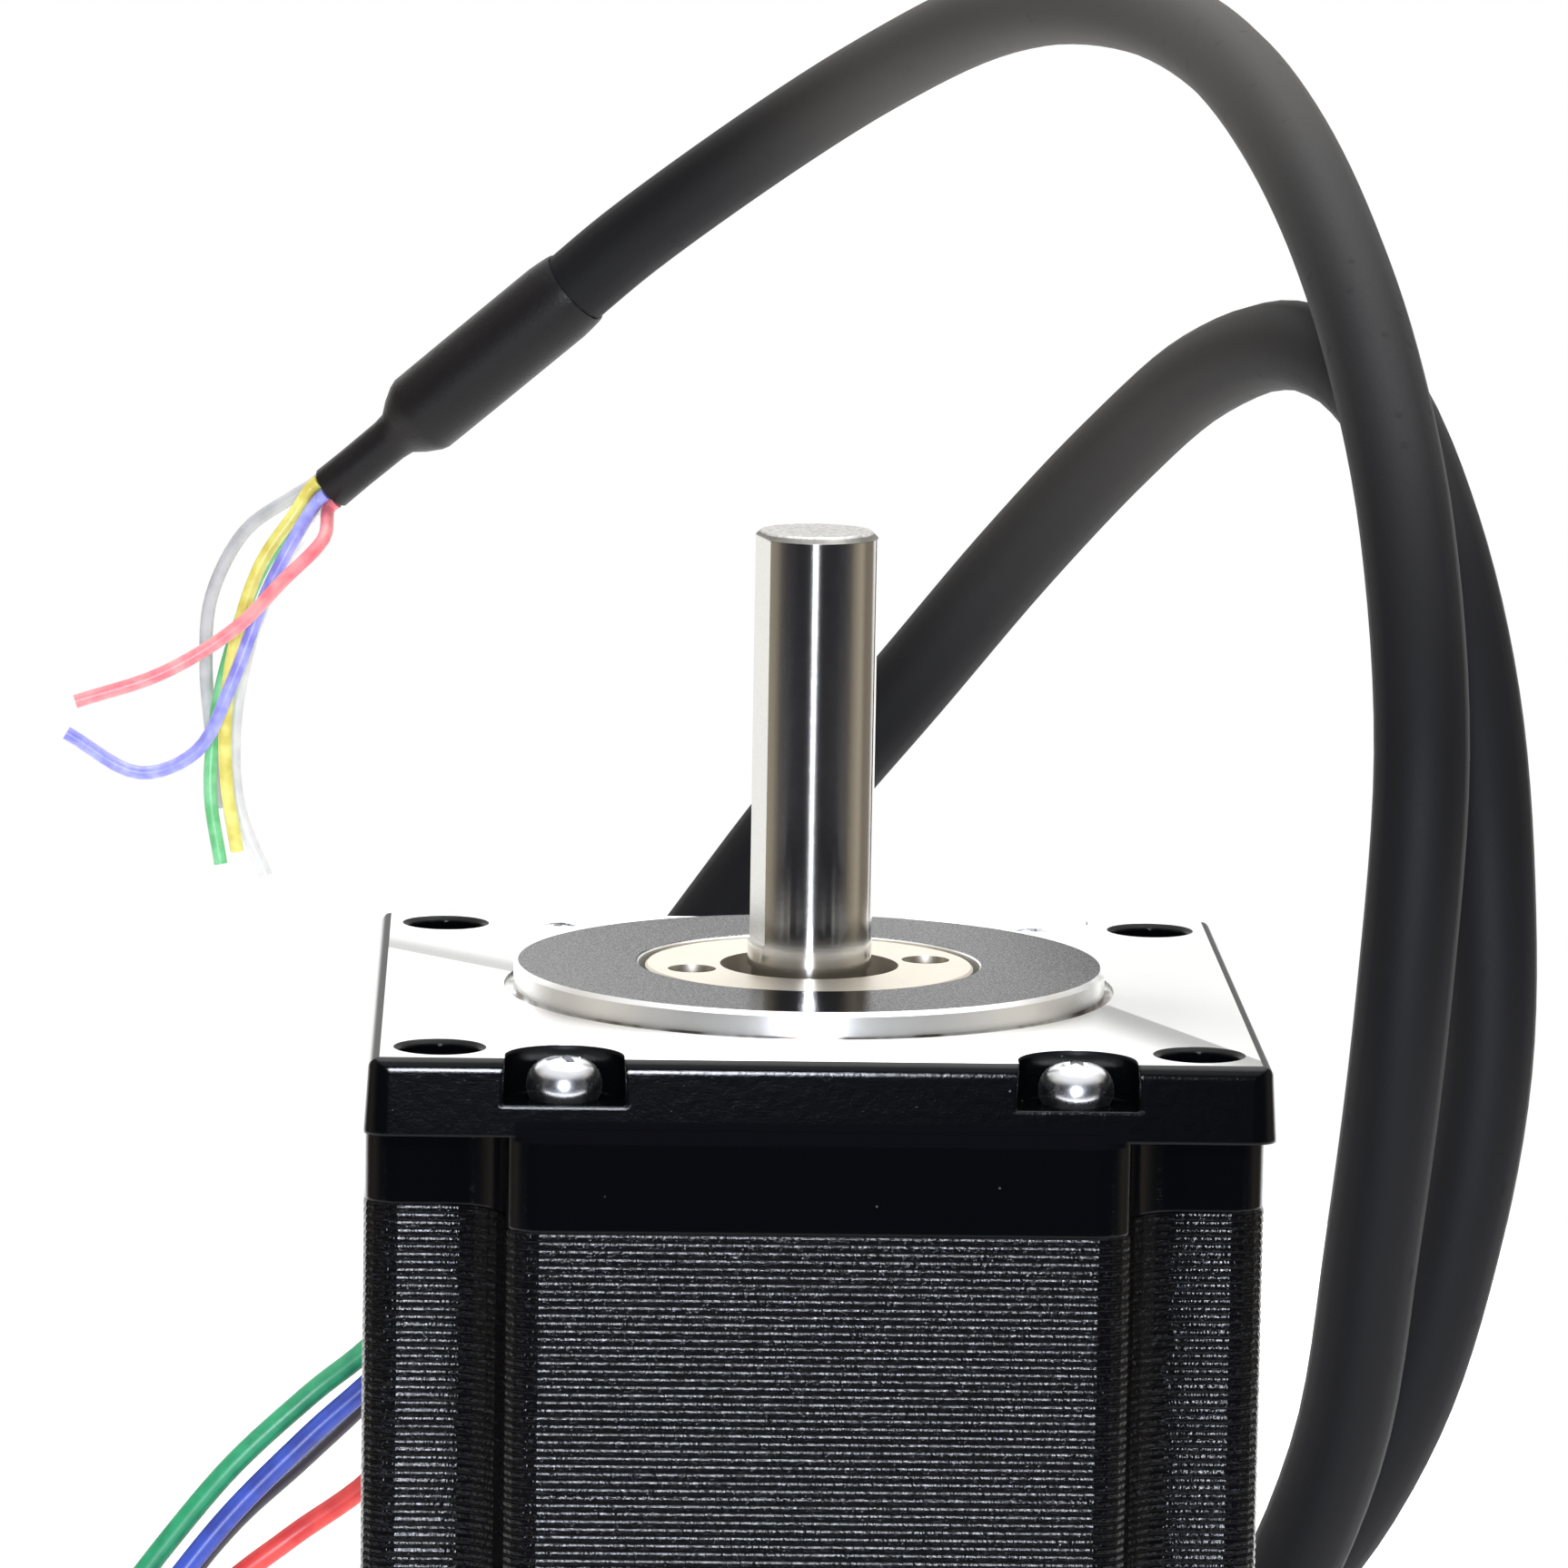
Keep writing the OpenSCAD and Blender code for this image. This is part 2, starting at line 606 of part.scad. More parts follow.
// Plan of one pole on +X: the neck, the shoe and its teeth
module pole_outline() {
    gap_w = 2 * PI * bore_r / rotor_teeth * (1 - tooth_share);
    difference() {
        union() {
            translate([bore_r + shoe_t / 2, -neck_w / 2])
                square([slot_r + cut - bore_r - shoe_t / 2, neck_w]);
            intersection() {
                difference() {
                    circle(r = bore_r + shoe_t);
                    circle(r = bore_r);
                }
                wedge(bore_r + shoe_t, shoe_angle);
            }
        }
        for (k = [1 : pole_teeth - 1])
            rotate((k - pole_teeth / 2) * tooth_pitch)
                translate([bore_r - cut, -gap_w / 2]) square([tooth_d + cut, gap_w]);
    }
}

module stator_stack() {
    color("#2b2c2f") translate([0, 0, rear_bell_z]) linear_extrude(stack_l) {
        difference() {
            stack_outline();
            circle(r = slot_r);
            at_four(screw_x, screw_y) circle(r = screw_shank_r + screw_play);
        }
        for (k = [0 : pole_count - 1])
            rotate(k * 360 / pole_count) pole_outline();
    }
}

// Moulded end insulator, seated on a stack face at z = 0 and standing up from it
module end_insulator() {
    tab_r = bore_r + shoe_t - insulator_t;
    tab_half_w = tab_r * tan(180 / pole_count) - tab_gap;
    difference() {
        cylinder(r = slot_r + insulator_t, h = insulator_h - insulator_t / 2);
        translate([0, 0, -cut]) cylinder(r = slot_r, h = insulator_h + 2 * cut);
    }
    for (k = [0 : pole_count - 1])
        rotate(k * 360 / pole_count) {
            translate([tab_r, -neck_w / 2 - coil_play, 0])
                cube([slot_r + insulator_t / 2 - tab_r, neck_w + 2 * coil_play,
                      insulator_t]);
            translate([tab_r, -tab_half_w, 0])
                cube([insulator_t, 2 * tab_half_w, insulator_h]);
        }
}

module front_insulator() {
    color("#e9e4d4") translate([0, 0, stack_z]) end_insulator();
}

module rear_insulator() {
    color("#e9e4d4") translate([0, 0, rear_bell_z]) mirror([0, 0, 1]) end_insulator();
}

// One coil round the neck of the pole on +X
module coil() {
    inner_w = neck_w + 4 * coil_play;
    inner_l = stack_l + 2 * insulator_t + 2 * coil_play;
    translate([coil_r, 0, rear_bell_z + stack_l / 2])
        rotate([90, 0, 90]) linear_extrude(coil_h) difference() {
            rounded_rect(inner_w + 2 * coil_t, inner_l + 2 * coil_t, coil_t * 0.8);
            rounded_rect(inner_w, inner_l, coil_play);
        }
}

module phase_coils(first) {
    for (k = [first : 2 : pole_count - 1])
        rotate(k * 360 / pole_count) coil();
}

module phase_a_coils() {
    color("#b4622d") phase_coils(0);
}

module phase_b_coils() {
    color("#a85626") phase_coils(1);
}

module rear_end_bell() {
    color("#1a1b1e") difference() {
        union() {
            translate([0, 0, bell_end_z + rear_flange_t - cut])
                linear_extrude(rear_bell_h - rear_flange_t + cut) stack_outline();
            translate([0, 0, bell_end_z]) linear_extrude(rear_flange_t)
                rounded_rect(body_w, body_w, flange_corner_r);
        }
        translate([0, 0, rear_bell_z]) mirror([0, 0, 1])
            bell_cavity(rear_bell_h - rear_flange_t - insulator_t * 2,
                        rear_bearing_z - bell_end_z - rear_flange_t - insulator_t * 2
                        + shoulder_gap * 8);
        // Bearing seat, then the hole for the encoder journal
        translate([0, 0, washer_z])
            cylinder(r = bearing_r + seat_play, h = rear_bell_h);
        translate([0, 0, bell_end_z - cut]) cylinder(r = cap_hole_r, h = rear_bell_h);
        at_four(screw_x, screw_y)
            translate([0, 0, rear_bell_z - screw_grip])
                cylinder(r = screw_shank_r + screw_play / 3, h = screw_grip + cut);
        at_four(hole_d, hole_d)
            translate([0, 0, bell_end_z - cut])
                cylinder(r = cover_screw_r + cover_screw_play / 3,
                         h = rear_flange_t + 2 * cut);
        // Way for the winding leads into the rear cover
        translate([0, hub_r + (cavity_r - hub_r) / 2, bell_end_z - cut])
            cylinder(r = cable_r * 0.9, h = rear_bell_h);
    }
}

// Long pan-head screws through the bell and the stack into the rear bell
module case_screws() {
    shank_l = bell_h - pocket_d + stack_l + screw_grip - cut;
    recess = screw_head_r / 5;
    dome_r = screw_head_r * 1.3;
    color("#c9c7bf") at_four(screw_x, screw_y)
        translate([0, 0, -pocket_d]) difference() {
            union() {
                translate([0, 0, -shank_l]) cylinder(r = screw_shank_r, h = shank_l + cut);
                intersection() {
                    cylinder(r = screw_head_r, h = screw_head_h);
                    translate([0, 0, screw_head_h - dome_r]) sphere(r = dome_r);
                }
            }
            for (a = [0, 90])
                rotate(a + screw_turn)
                    translate([-screw_head_r * 0.6, -recess / 2, screw_head_h / 2])
                        cube([screw_head_r * 1.2, recess, screw_head_h]);
        }
}

// The bearing modules draw a bearing from z = 0 down over its width
module raceway() {
    translate([0, 0, -bearing_w / 2]) rotate_extrude() translate([ball_pitch_r, 0])
        circle(r = raceway_r);
}

module outer_ring() {
    shield_seat = shield_t + shield_inset;
    difference() {
        translate([0, 0, -bearing_w]) cylinder(r = bearing_r, h = bearing_w);
        translate([0, 0, -bearing_w - cut])
            cylinder(r = outer_ring_bore_r, h = bearing_w + 2 * cut);
        for (z = [-shield_seat, -bearing_w - cut])
            translate([0, 0, z])
                cylinder(r = outer_ring_bore_r + shield_t, h = shield_seat + cut);
        raceway();
    }
}

module inner_ring() {
    difference() {
        translate([0, 0, -bearing_w]) cylinder(r = inner_ring_r, h = bearing_w);
        translate([0, 0, -bearing_w - cut])
            cylinder(r = shaft_r + seat_play, h = bearing_w + 2 * cut);
        raceway();
    }
}

module at_balls() {
    for (k = [0 : ball_count - 1])
        rotate(k * 360 / ball_count) translate([ball_pitch_r, 0, -bearing_w / 2])
            children();
}

// Ring with a round pocket right through it for each ball
module cage() {
    difference() {
        translate([0, 0, -bearing_w / 2 - cage_half_h])
            cylinder(r = ball_pitch_r + cage_half_w, h = 2 * cage_half_h);
        translate([0, 0, -bearing_w])
            cylinder(r = ball_pitch_r - cage_half_w, h = bearing_w);
        at_balls() rotate([0, 90, 0])
            cylinder(r = ball_r + cage_play, h = 4 * cage_half_w, center = true);
    }
}

module shields() {
    for (z = [-shield_inset - shield_t, -bearing_w + shield_inset])
        translate([0, 0, z]) difference() {
            cylinder(r = outer_ring_bore_r + shield_t - seat_play, h = shield_t);
            translate([0, 0, -cut])
                cylinder(r = inner_ring_r + shield_gap, h = shield_t + 2 * cut);
        }
}

module front_bearing_outer_ring() {
    color("#a9abad") translate([0, 0, front_bearing_z]) outer_ring();
}

module front_bearing_inner_ring() {
    color("#a9abad") translate([0, 0, front_bearing_z]) inner_ring();
}

module front_bearing_balls() {
    color("#d4d6d8") translate([0, 0, front_bearing_z]) at_balls() sphere(r = ball_r);
}

module front_bearing_cage() {
    color("#8f8568") translate([0, 0, front_bearing_z]) cage();
}

module front_bearing_shields() {
    color("#b8babc") translate([0, 0, front_bearing_z]) shields();
}

module rear_bearing_outer_ring() {
    color("#a9abad") translate([0, 0, rear_bearing_z]) outer_ring();
}

module rear_bearing_inner_ring() {
    color("#a9abad") translate([0, 0, rear_bearing_z]) inner_ring();
}

module rear_bearing_balls() {
    color("#d4d6d8") translate([0, 0, rear_bearing_z]) at_balls() sphere(r = ball_r);
}

module rear_bearing_cage() {
    color("#8f8568") translate([0, 0, rear_bearing_z]) cage();
}

module rear_bearing_shields() {
    color("#b8babc") translate([0, 0, rear_bearing_z]) shields();
}

// Wavy spring band between the rear bearing and the rear bell
module wave_washer() {
    steps = 16 * wave_count;
    swing = (wave_h - wave_t) / 2 * 0.9;
    outer = bearing_r - wave_band_w / 6;
    mid_z = washer_z + wave_h / 2;
    rings = [for (k = [0 : steps - 1])
                 let(a = 360 * k / steps, z = mid_z + swing * cos(a * wave_count))
                     for (q = [[outer, -1], [outer, 1], [outer - wave_band_w, 1],
                               [outer - wave_band_w, -1]])
                         [q[0] * cos(a), q[0] * sin(a), z + q[1] * wave_t / 2]];
    faces = [for (k = [0 : steps - 1], j = [0 : 3])
                 let(a = 4 * k, b = 4 * ((k + 1) % steps), m = (j + 1) % 4)
                     for (f = [[a + j, a + m, b + m], [a + j, b + m, b + j]]) f];
    color("#9b9c9e") polyhedron(rings, faces);
}

module shaft() {
    tip = shaft_out - shaft_chamfer;
    rear_tip = journal_z - rear_shaft_l;
    end_r = shaft_r - shaft_ease;
    end_z = flat_start + shaft_chamfer / 2;
    neck_r = shaft_r - shaft_relief;
    relief_z = cap_top_z + shaft_relief / 5;
    seat_z = cap_top_z - cap_t + shaft_relief;
    color("#b9babb") difference() {
        rotate_extrude() polygon([
            [0, shaft_out], [end_r - shaft_chamfer, shaft_out], [end_r, tip],
            [end_r, end_z], [shaft_r, end_z], [shaft_r, relief_z], [neck_r, relief_z],
            [neck_r, seat_z], [shaft_r, seat_z], [shaft_r, front_shoulder_z],
            [rotor_seat_r, front_shoulder_z],
            [rotor_seat_r, rear_shoulder_z], [shaft_r, rear_shoulder_z],
            [shaft_r, journal_z], [rear_shaft_r, journal_z],
            [rear_shaft_r, rear_tip + shaft_chamfer],
            [rear_shaft_r - shaft_chamfer, rear_tip], [0, rear_tip]
        ]);
        rotate(flat_turn)
            translate([-shaft_r - cut, -shaft_r, flat_start])
                cube([flat_depth + cut, 2 * shaft_r, shaft_out]);
    }
}

// One toothed rotor cup from z down, its teeth turned by a share of their pitch
module rotor_cup(z, turn_share) {
    gap_w = 2 * PI * rotor_r / rotor_teeth * (1 - tooth_share);
    color("#6f7072") translate([0, 0, z - cup_l]) linear_extrude(cup_l)
        difference() {
            circle(r = rotor_r);
            circle(r = rotor_seat_r + seat_play);
            for (k = [0 : rotor_teeth - 1])
                rotate((k + turn_share) * tooth_pitch)
                    translate([rotor_r - tooth_d, -gap_w / 2])
                        square([tooth_d + cut, gap_w]);
        }
}

// Plain disc on the rotor seat, from z down
module rotor_disc(z, t, r) {
    translate([0, 0, z - t]) linear_extrude(t) difference() {
        circle(r = r);
        circle(r = rotor_seat_r + seat_play);
    }
}

module rotor_cup_1() {
    rotor_cup(rotor_z, 0);
}

module rotor_cup_2() {
    rotor_cup(magnet_1_z - magnet_t, 0.5);
}

module rotor_cup_3() {
    rotor_cup(spacer_z - spacer_t, 0);
}

module rotor_cup_4() {
    rotor_cup(magnet_2_z - magnet_t, 0.5);
}

module rotor_magnet_1() {
    color("#4d4f53") rotor_disc(magnet_1_z, magnet_t, rotor_r - magnet_inset);
}

module rotor_magnet_2() {
    color("#4d4f53") rotor_disc(magnet_2_z, magnet_t, rotor_r - magnet_inset);
}

module rotor_spacer() {
    color("#c2c4c6") rotor_disc(spacer_z, spacer_t, rotor_r - 2 * magnet_inset);
}

module encoder_hub() {
    spigot_r = (hub_disc_r + rear_shaft_r) / 2;
    color("#c4c6c8") difference() {
        union() {
            translate([0, 0, disc_z]) cylinder(r = hub_disc_r, h = hub_disc_h);
            translate([0, 0, disc_z - 2 * disc_t])
                cylinder(r = spigot_r, h = 2 * disc_t + cut);
        }
        translate([0, 0, disc_z - 2 * disc_t - cut])
            cylinder(r = rear_shaft_r + seat_play, h = hub_disc_h + 2 * disc_t + 2 * cut);
        translate([0, 0, disc_z + hub_disc_h / 2]) rotate([0, 90, 0])
            cylinder(r = set_screw_r + seat_play, h = hub_disc_r + cut);
    }
}

module hub_set_screw() {
    socket_r = set_screw_r / 2;
    l = hub_disc_r - rear_shaft_r - 5 * seat_play;
    color("#333437") translate([rear_shaft_r + 3 * seat_play, 0, disc_z + hub_disc_h / 2])
        rotate([0, 90, 0]) difference() {
            cylinder(r = set_screw_r, h = l);
            translate([0, 0, l / 2]) cylinder(r = socket_r, h = l, $fn = 6);
        }
}

module encoder_disc() {
    spigot_r = (hub_disc_r + rear_shaft_r) / 2;
    color("#9aa3a8") translate([0, 0, disc_z - disc_t]) difference() {
        cylinder(r = disc_r, h = disc_t);
        translate([0, 0, -cut]) cylinder(r = spigot_r + seat_play, h = disc_t + 2 * cut);
    }
}

module encoder_board() {
    color("#1f5c38") translate([0, 0, board_back_z]) linear_extrude(board_t)
        difference() {
            rounded_rect(board_w, board_w, board_corner_r);
            circle(r = board_hole_r);
            at_four(standoff_d, standoff_d) circle(r = board_screw_r + screw_play);
        }
}

module board_standoffs() {
    color("#c8a85a") at_four(standoff_d, standoff_d)
        translate([0, 0, board_z]) difference() {
            cylinder(r = standoff_r, h = standoff_l, $fn = 6);
            translate([0, 0, -cut])
                cylinder(r = board_screw_r + seat_play, h = board_screw_l + cut);
        }
}

module board_screws() {
    slot_w = board_screw_head_r / 4;
    color("#b9bbbd") at_four(standoff_d, standoff_d)
        translate([0, 0, board_back_z - board_screw_head_h]) difference() {
            union() {
                cylinder(r = board_screw_head_r, h = board_screw_head_h);
                cylinder(r = board_screw_r, h = board_screw_head_h + board_screw_l);
            }
            translate([-board_screw_head_r, -slot_w / 2, -cut])
                cube([2 * board_screw_head_r, slot_w, board_screw_head_h / 3 + cut]);
        }
}

// Reflective read head, facing the code disc, with its lens window
module read_head() {
    color("#22252a") translate([0, -head_y, board_z]) difference() {
        translate([-head_w / 2, -head_d / 2, 0]) cube([head_w, head_d, head_h]);
        translate([0, 0, head_h * 0.8]) cylinder(r = head_d / 4, h = head_h);
    }
}

// Open cable header with its row of contacts, on the back of the board
module board_header() {
    pitch = (header_w - 2 * header_wall) / header_pins;
    y = board_w / 2 - header_d / 2 - header_wall;
    color("#e8e2cf") translate([0, y, board_back_z - header_h]) difference() {
        translate([-header_w / 2, -header_d / 2, 0]) cube([header_w, header_d, header_h]);
        translate([-header_w / 2 + header_wall, -header_d / 2 + header_wall, -cut])
            cube([header_w - 2 * header_wall, header_d - 2 * header_wall,
                  header_h - header_wall + cut]);
    }
    color("#cfae55") for (k = [0 : header_pins - 1])
        translate([(k + 0.5) * pitch - header_w / 2 + header_wall - header_wall / 3,
                   y - header_wall / 3, board_back_z - header_h * 0.8])
            cube([header_wall * 2 / 3, header_wall * 2 / 3, header_h * 0.8]);
}

// Signal chip, driver and crystal on the back of the board
module board_chips() {
    color("#202124") {
        translate([-chip_w / 2, -head_y - chip_w / 2, board_back_z - chip_h])
            cube([chip_w, chip_w, chip_h]);
        translate([-board_w / 2 + chip_w / 2, -chip_w / 2, board_back_z - chip_h])
            cube([chip_w * 0.7, chip_w, chip_h]);
        translate([board_w / 2 - chip_w, -chip_w / 3, board_back_z - chip_h])
            cube([chip_w / 2, chip_w / 1.5, chip_h]);
    }
}

module rear_cover() {
    inner_w = body_w - 2 * cover_wall;
    color("#1c1d20") difference() {
        union() {
            difference() {
                translate([0, 0, bell_end_z])
                    edged_block(body_w, cover_h, cover_corner_r, cover_edge_r, 0, false);
                translate([0, 0, base_z + cover_floor_t]) linear_extrude(cover_h)
                    rounded_rect(inner_w, inner_w, cover_corner_r - cover_wall / 2);
            }
            intersection() {
                at_four(hole_d, hole_d) translate([0, 0, base_z + cover_floor_t - cut])
                    cylinder(r = post_r, h = cover_h - cover_floor_t + cut);
                translate([0, 0, base_z]) linear_extrude(cover_h)
                    rounded_rect(body_w, body_w, cover_corner_r);
            }
        }
        at_four(hole_d, hole_d) {
            translate([0, 0, base_z - cut])
                cylinder(r = cover_screw_r + cover_screw_play, h = cover_h + 2 * cut);
            translate([0, 0, base_z - cut]) cylinder(r = recess_r, h = recess_d + cut);
        }
        for (x = [-1, 1])
            translate([x * outlet_x, half_w - cover_wall * 2, outlet_z])
                rotate([-90, 0, 0]) cylinder(r = outlet_r, h = cover_wall * 2 + cut);
    }
}

// Socket-head screws that hold the rear cover to the rear bell
module cover_screws() {
    head_z = base_z + recess_d;
    grip = bell_end_z + rear_flange_t - screw_play * 2;
    color("#2c2d30") at_four(hole_d, hole_d) difference() {
        union() {
            translate([0, 0, head_z - cover_screw_head_h])
                cylinder(r = cover_screw_head_r, h = cover_screw_head_h);
            translate([0, 0, head_z - cut])
                cylinder(r = cover_screw_r, h = grip - head_z + cut);
        }
        translate([0, 0, head_z - cover_screw_head_h - cut])
            cylinder(r = cover_screw_r, h = cover_screw_head_h * 0.6 + cut, $fn = 6);
    }
}

// Rubber boot in an outlet at x: two collars grip the cover's wall, then it tapers
// towards the cable, with grooves round it
module cable_boot(x) {
    neck_r = outlet_r - outlet_play;
    inside = cover_wall + boot_collar_t;
    taper_l = boot_out - boot_collar_t;
    pitch = taper_l / (boot_grooves + 1);
    color("#17181a") translate([x, half_w, outlet_z]) rotate([-90, 0, 0]) difference() {
        union() {
            translate([0, 0, -inside]) cylinder(r = boot_collar_r, h = boot_collar_t);
            translate([0, 0, -inside]) cylinder(r = neck_r, h = inside + cut);
            cylinder(r = boot_collar_r, h = boot_collar_t);
            translate([0, 0, boot_collar_t])
                cylinder(r1 = boot_base_r, r2 = boot_tip_r, h = taper_l);
        }
        for (k = [1 : boot_grooves])
            let(share = k / (boot_grooves + 1),
                r = boot_base_r + (boot_tip_r - boot_base_r) * share - boot_groove_d)
                translate([0, 0, boot_collar_t + k * pitch - pitch / 2]) difference() {
                    cylinder(r = boot_base_r + cut, h = pitch / 2);
                    translate([0, 0, -cut]) cylinder(r = r, h = pitch / 2 + 2 * cut);
                }
    }
}

module encoder_cable_boot() {
    cable_boot(outlet_x);
}

module motor_cable_boot() {
    cable_boot(-outlet_x);
}

function unit(v) = v / norm(v);
// Heading of a route at its point i
function heading(p, i) = unit(p[min(i + 1, len(p) - 1)] - p[max(i - 1, 0)]);
// Side direction s carried to each point in turn, square to the heading there
function sides_along(p, i, s) =
    i == len(p) ? [] :
    let(t = heading(p, i), n = unit(s - t * (t * s)))
        concat([n], sides_along(p, i + 1, n));

// Round tube along the points p, as one closed solid with flat ends
module tube(p, r, n) {
    s = sides_along(p, 0, [0, 0, 1]);
    last = len(p) - 1;
    rings = [for (i = [0 : last])
                 let(u = s[i], w = cross(heading(p, i), s[i]))
                     for (k = [0 : n - 1])
                         p[i] + r * (cos(360 * k / n) * u + sin(360 * k / n) * w)];
    walls = [for (i = [0 : last - 1], k = [0 : n - 1])
                 let(a = i * n + k, b = i * n + (k + 1) % n)
                     for (f = [[a, a + n, b + n], [a, b + n, b]]) f];
    ends = [[for (k = [0 : n - 1]) k], [for (k = [n - 1 : -1 : 0]) last * n + k]];
    polyhedron(rings, concat(walls, ends));
}

// Turns the children's +Z to point from one place to another
module facing(from, to) {
    d = to - from;
    translate(from) rotate([0, acos(d[2] / norm(d)), atan2(d[1], d[0])]) children();
}

module encoder_cable() {
    color("#1d1e20") tube(encoder_route, cable_r, cable_sides);
}

module motor_cable() {
    color("#1d1e20") tube(motor_route, cable_r, cable_sides);
}

// Shrink sleeve from a cable's end to the start of its wires, with a narrow neck
module shrink_sleeve(from, to, neck_r) {
    long = norm(to - from) - cable_gap;
    body_l = long - sleeve_neck_l - sleeve_taper_l;
    color("#141516") facing(from, to) translate([0, 0, cable_gap]) {
        cylinder(r = sleeve_r, h = body_l);
        translate([0, 0, body_l])
            cylinder(r1 = sleeve_r, r2 = neck_r, h = sleeve_taper_l);
        translate([0, 0, body_l + sleeve_taper_l - cut])
            cylinder(r = neck_r, h = sleeve_neck_l + cut);
    }
}

module encoder_cable_sleeve() {
    shrink_sleeve(encoder_route[len(encoder_route) - 1], encoder_end, encoder_neck_r);
}

module motor_cable_sleeve() {
    shrink_sleeve(motor_route[len(motor_route) - 1], motor_end, motor_neck_r);
}

// The first two points of a wire: it leaves a sleeve straight, at an angle round the
// end of the sleeve's neck
function wire_start(from, to, wire_r, ring_share, angle) =
    let(t = unit(to - from), u = unit([0, 1, 0] - t * t[1]), w = cross(t, u))
        [for (lead = [0, 1.5 * wire_r])
            to + (cable_gap + lead) * t +
                ring_share * wire_r * (cos(angle) * u + sin(angle) * w)];

module encoder_wire(angle, route) {
    from = encoder_route[len(encoder_route) - 1];
    start = wire_start(from, encoder_end, encoder_wire_r, 2.3, angle);
    tube(concat(start, route), encoder_wire_r, wire_sides);
}

module motor_wire(angle, route) {
    from = motor_route[len(motor_route) - 1];
    start = wire_start(from, motor_end, motor_wire_r, 1.6, angle);
    tube(concat(start, route), motor_wire_r, wire_sides);
}

module encoder_wire_yellow() {
    color("#e3cf3a") encoder_wire(240, yellow_route);
}

module encoder_wire_grey() {
    color("#9b9b9b") encoder_wire(300, grey_route);
}

module encoder_wire_green() {
    color("#3fa46a") encoder_wire(0, green_route);
}

module encoder_wire_white() {
    color("#dcdcd8") encoder_wire(60, white_route);
}

module encoder_wire_blue() {
    color("#3f5fc4") encoder_wire(180, blue_route);
}

module encoder_wire_red() {
    color("#cf3b3b") encoder_wire(120, red_route);
}

module motor_wire_green() {
    color("#2f8f74") motor_wire(270, motor_green_route);
}

module motor_wire_blue() {
    color("#2f4fc0") motor_wire(180, motor_blue_route);
}

module motor_wire_black() {
    color("#202124") motor_wire(0, motor_black_route);
}

module motor_wire_red() {
    color("#d94a45") motor_wire(90, motor_red_route);
}

front_end_bell();
front_bearing_cap();
stator_stack();
front_insulator();
rear_insulator();
phase_a_coils();
phase_b_coils();
rear_end_bell();
case_screws();
front_bearing_outer_ring();
front_bearing_inner_ring();
front_bearing_balls();
front_bearing_cage();
front_bearing_shields();
rear_bearing_outer_ring();
rear_bearing_inner_ring();
rear_bearing_balls();
rear_bearing_cage();
rear_bearing_shields();
wave_washer();
shaft();
rotor_cup_1();
rotor_cup_2();
rotor_cup_3();
rotor_cup_4();
rotor_magnet_1();
rotor_magnet_2();
rotor_spacer();
encoder_hub();
hub_set_screw();
encoder_disc();
encoder_board();
board_standoffs();
board_screws();
read_head();
board_header();
board_chips();
rear_cover();
cover_screws();
encoder_cable_boot();
motor_cable_boot();
encoder_cable();
motor_cable();
encoder_cable_sleeve();
motor_cable_sleeve();
encoder_wire_yellow();
encoder_wire_grey();
encoder_wire_green();
encoder_wire_white();
encoder_wire_blue();
encoder_wire_red();
motor_wire_green();
motor_wire_blue();
motor_wire_black();
motor_wire_red();
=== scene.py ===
import json
import math
from collections import namedtuple
import bmesh
import bpy
from mathutils import Matrix, Vector


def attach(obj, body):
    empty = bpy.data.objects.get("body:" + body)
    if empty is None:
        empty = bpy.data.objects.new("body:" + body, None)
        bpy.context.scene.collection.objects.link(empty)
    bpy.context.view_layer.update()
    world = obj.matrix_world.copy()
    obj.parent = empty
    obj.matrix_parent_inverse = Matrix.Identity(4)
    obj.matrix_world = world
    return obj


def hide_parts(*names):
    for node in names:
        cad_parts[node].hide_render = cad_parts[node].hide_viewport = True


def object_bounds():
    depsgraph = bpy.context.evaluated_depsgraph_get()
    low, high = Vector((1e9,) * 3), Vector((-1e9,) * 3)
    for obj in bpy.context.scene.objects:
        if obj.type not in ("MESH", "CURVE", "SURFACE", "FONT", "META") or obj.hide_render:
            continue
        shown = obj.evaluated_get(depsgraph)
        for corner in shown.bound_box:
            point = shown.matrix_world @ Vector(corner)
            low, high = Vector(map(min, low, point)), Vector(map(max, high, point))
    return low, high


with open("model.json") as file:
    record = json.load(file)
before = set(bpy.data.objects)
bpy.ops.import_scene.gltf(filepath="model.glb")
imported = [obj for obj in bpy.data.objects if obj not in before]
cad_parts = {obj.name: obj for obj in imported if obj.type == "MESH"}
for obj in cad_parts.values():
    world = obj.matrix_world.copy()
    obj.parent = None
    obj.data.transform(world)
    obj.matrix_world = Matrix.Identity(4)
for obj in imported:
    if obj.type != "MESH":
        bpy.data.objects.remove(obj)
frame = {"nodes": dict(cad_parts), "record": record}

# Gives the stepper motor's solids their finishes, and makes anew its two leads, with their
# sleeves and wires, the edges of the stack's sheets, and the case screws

cad_box = [list(corner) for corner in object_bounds()]
MM = 0.001
scene = bpy.context.scene
scene.view_settings.view_transform = "Standard"

# The camera stands where the photograph was taken from

CAMERA_AT = (-0.01962702, -0.60068863, 0.10330818)
CAMERA_TURN = (81.46799, -0.91328, -1.56220)
FOCAL_LENGTH = 217.092
SENSOR_W = 36

lens = bpy.data.cameras.new("camera")
lens.lens = FOCAL_LENGTH
lens.sensor_width = SENSOR_W
lens.clip_start = 10 * MM
camera = bpy.data.objects.new("camera", lens)
camera.location = CAMERA_AT
camera.rotation_euler = [math.radians(turn) for turn in CAMERA_TURN]
scene.collection.objects.link(camera)
scene.camera = camera

# Sizes in millimetres that the looks share with the solids. The flange's face is at height 0

